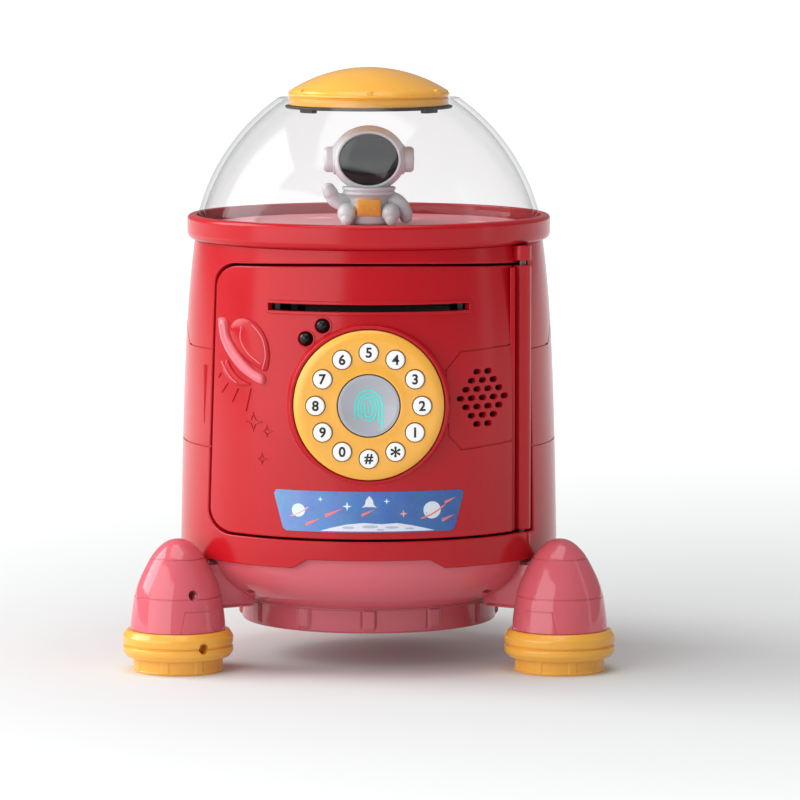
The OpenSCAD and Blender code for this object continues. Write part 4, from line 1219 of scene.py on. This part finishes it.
def label_blue():
    """Printed night sky: light blue at the left, deep blue at the right, with fine speckle."""
    mat = plastic("label_sky", "3E6FC0", rough=0.28, vary=0.06, grain=0.04)
    tree = mat.node_tree
    node, link = tree.nodes.new, tree.links.new
    place, split, ramp = node("ShaderNodeTexCoord"), node("ShaderNodeSeparateXYZ"), node("ShaderNodeMapRange")
    link(place.outputs["Object"], split.inputs["Vector"])
    ramp.inputs["From Min"].default_value, ramp.inputs["From Max"].default_value = -0.037, 0.037
    link(split.outputs["X"], ramp.inputs["Value"])
    sky = node("ShaderNodeValToRGB")
    for e, c in zip(sky.color_ramp.elements, ("6B90C4", "2F5A9E")):
        e.color = (*rgb(c), 1)
    for at, c in ((0.25, "5680BE"), (0.6, "3D6AB0")):
        sky.color_ramp.elements.new(at).color = (*rgb(c), 1)
    link(ramp.outputs["Result"], sky.inputs["Fac"])
    cloud = node("ShaderNodeTexNoise")
    cloud.inputs["Scale"].default_value = 130
    cloud.inputs["Detail"].default_value = 5
    link(place.outputs["Object"], cloud.inputs["Vector"])
    mix = node("ShaderNodeMix")
    mix.data_type, mix.blend_type = "RGBA", "SOFT_LIGHT"
    mix.inputs["Factor"].default_value = 0.5
    link(sky.outputs["Color"], mix.inputs["A"])
    link(cloud.outputs["Color"], mix.inputs["B"])
    link(mix.outputs["Result"], tree.nodes["Principled BSDF"].inputs["Base Color"])
    return mat


PRINT = {k: plastic(f"label_{k}", c, rough=0.28, vary=0.05, grain=0.04) for k,
    c in (("moon", "D9DEEA"), ("crater", "AEB8CE"), ("peach", "F0A38C"), ("coral", "E8776C"),
    ("glow", "CFE6FF"), ("navy", "23407F"))}
LABEL = [(-36.2, 75.4), (-37.3, 74), (-33.8, 60.4), (-32.4, 59.3), (32.4, 59.3), (33.8, 60.4), (37.3, 74),
    (36.2, 75.4)]
inks = ["sky", *PRINT]


def printed(loop, ink, layer=1):
    """A flat printed shape on the label; higher layers lie on lower ones."""
    return skin(on_shell, on_front(anticlockwise(dense(loop, 2.0, True))), edge=0.015, back=0.18,
        step=2.5, relief=flat(0.26 + 0.02 * layer), mat=inks.index(ink))


def ellipse(x, z, w, h, n):
    return [(x + w * cos(t), z + h * sin(t)) for t in np.linspace(0, 2 * pi, n)[:-1]]


def tail(x, z, length, width, lean=0.42):
    """A meteor's tail that narrows up to the right."""
    dx, dz = length * cos(lean), length * sin(lean)
    return [(x - 0.3 * width, z - 0.5 * width), (x + 0.3 * width, z - 0.5 * width), (x + dx, z + dz),
        (x - 0.3 * width, z + 0.5 * width)]


label_plate = skin(on_shell, facing(rounded(LABEL, 0.8, guard=0)), edge=0.1, back=0.03, step=3.0,
    relief=flat(0.27))
moon = [(26, 59.75), (22, 60.8), (17, 62.0), (11, 63.0), (5, 62.6), (-2, 63.1), (-9, 62.4), (-15, 61.0),
    (-19, 59.75)]
art = [printed(moon, "moon")]
for x, z, w, h in ((-8, 61.2, 2.4, 0.5), (0.5, 61.6, 3.2, 0.6), (9, 61.3, 2.6, 0.5), (16, 60.8, 1.8, 0.4),
        (4.6, 60.4, 1.6, 0.35)):
    art.append(printed(ellipse(x, z, w, h, 20), "crater", 2))


def ringed(x, z, r, ball, ring):
    """A small planet with the near side of a tilted ring."""
    c, s, a = cos(0.5), sin(0.5), np.linspace(pi + 0.5, 2 * pi - 0.5, 14)
    band = ([(1.9 * r * cos(t), 0.5 * r * sin(t)) for t in a] + [(1.55 * r * cos(t), 0.32 * r * sin(t))
        for t in a[::-1]])
    return [printed(ellipse(x, z, r, r, 28), ball), printed([(x + p * c - q * s, z + p * s + q * c) for p,
        q in band], ring, 2)]


art += ringed(-27.6, 67.6, 2.6, "glow", "peach")
art += ringed(24.8, 67.8, 3.4, "moon", "coral")
for x, z, r, ink in ((-8.5, 69.6, 1.9, "glow"), (7.0, 71.6, 1.3, "glow"), (13.6, 66.6, 1.6, "peach"),
        (-19.0, 72.2, 1.1, "glow")):
    art.append(printed(star(x, z, r, 0.3), ink))
for x, z, l, w in ((-24.5, 62.2, 6.5, 1.1), (-16.8, 65.8, 8.0, 1.2), (30.0, 70.6, 5.0, 1.0),
        (29.0, 63.6, 5.4, 1.1), (-2.6, 66.2, 6.4, 1.0)):
    art.append(printed(tail(x, z, l, w), "coral", 2))
rocket = [(-0.2, 74.0), (1.2, 72.3), (1.5, 70.6), (2.7, 69.3), (1.4, 69.6), (-1.8, 69.6), (-3.1, 69.3),
    (-1.9, 70.6), (-1.6, 72.3)]
art.append(printed([(x + 0.4, z - 0.2) for x, z in rocket], "moon", 3))
piece("label_plate", [label_plate, *art], [label_blue(), *PRINT.values()], "door",
    ["label"])

# ---------------------------------------------------------------- carried-over CAD nodes

for sub in frame["record"]["subparts"]:
    obj = frame["nodes"][sub["node"]]
    if obj.hide_render:
        continue
    obj.data.materials.clear()
    obj.data.materials.append(BY_SLOT[sub["material_slot"]])
    obj.data.polygons.foreach_set("material_index", [0] * len(obj.data.polygons))
    obj.data.polygons.foreach_set("use_smooth", [True] * len(obj.data.polygons))
    weld = obj.modifiers.new("weld", "WELD")
    weld.merge_threshold = 0.00001
    split = obj.modifiers.new("sharp edges", "EDGE_SPLIT")
    split.split_angle = radians(32)

# ---------------------------------------------------------------- studio

floor = bpy.data.meshes.new("studio_floor")
floor.from_pydata([(-20, -6, 0), (20, -6, 0), (20, 34, 0), (-20, 34, 0)], [], [(0, 1, 2, 3)])
floor_obj = add("studio_floor", floor)
paper = plastic("studio_paper", (0.68, 0.7, 0.7), rough=0.75, vary=0.004, grain=0.02, wave=0.0,
    specular=0.1)
nodes, links = paper.node_tree.nodes, paper.node_tree.links
# The paper glows more the farther it lies from the bank: painted light that whitens the far floor while the
# shadows next to the bank stay
spot, reach, painted_glow = (nodes.new(f"ShaderNode{k}") for k in ("TexCoord", "VectorMath", "MapRange"))
reach.operation = "LENGTH"
links.new(spot.outputs["Object"], reach.inputs["Vector"])
links.new(reach.outputs["Value"], painted_glow.inputs["Value"])
for key, value in (("From Min", 0.12), ("From Max", 1.3), ("To Min", 0.04), ("To Max", 0.85)):
    painted_glow.inputs[key].default_value = value
links.new(painted_glow.outputs["Result"], nodes["Principled BSDF"].inputs["Emission Strength"])
nodes["Principled BSDF"].inputs["Emission Color"].default_value = (1, 1, 1, 1)
floor.materials.append(paper)

scene = bpy.context.scene
scene.view_settings.view_transform = "Standard"
scene.view_settings.look = "None"
world = bpy.data.worlds.new("studio")
world.use_nodes = True
nodes, links = world.node_tree.nodes, world.node_tree.links
nodes["Background"].inputs["Color"].default_value = (1, 1, 1, 1)
# The backdrop is seen white, and lights the bank less than that
seen, level = (nodes.new(f"ShaderNode{k}") for k in ("LightPath", "MapRange"))
level.inputs["To Min"].default_value = 0.3
links.new(seen.outputs["Is Camera Ray"], level.inputs["Value"])
links.new(level.outputs["Result"], nodes["Background"].inputs["Strength"])
scene.world = world


LIT_POINT = Vector((0, 0, 0.12))


def softbox(name, azimuth, elevation, distance, width, height, radiance):
    """Rectangular light at an angle from the front; radiance is its brightness as seen in a reflection."""
    data = bpy.data.lights.new(name, "AREA")
    data.shape, data.size, data.size_y = "RECTANGLE", width, height
    data.energy = radiance * pi * width * height
    away = Vector((sind(azimuth) * cosd(elevation), -cosd(azimuth) * cosd(elevation), sind(elevation)))
    light = add(name, data)
    light.location = LIT_POINT + away * distance
    light.rotation_euler = away.to_track_quat("Z", "Y").to_euler()


softbox("key_left", -47, 18, 1.6, 1.9, 1.3, 2.3)
softbox("side_left", -100, 30, 1.6, 1.0, 1.2, 5.0)
softbox("top", -20, 80, 1.5, 1.2, 1.2, 2.3)
softbox("strip_right", 78, 18, 1.7, 0.25, 1.3, 0.8)

camera = bpy.data.cameras.new("camera")
camera.lens, camera.sensor_width = 236.9, 36.0
camera.shift_x = 0.039
camera.clip_end = 100
CAMERA_Y, CAMERA_Z, LOOK_DOWN = -2127, 321.4, 5.84
cam = add("camera", camera)
cam.location = (0, (CAMERA_Y + AXIS[1]) * MM, CAMERA_Z * MM)
cam.rotation_euler = (radians(90 - LOOK_DOWN), 0, 0)
scene.camera = cam
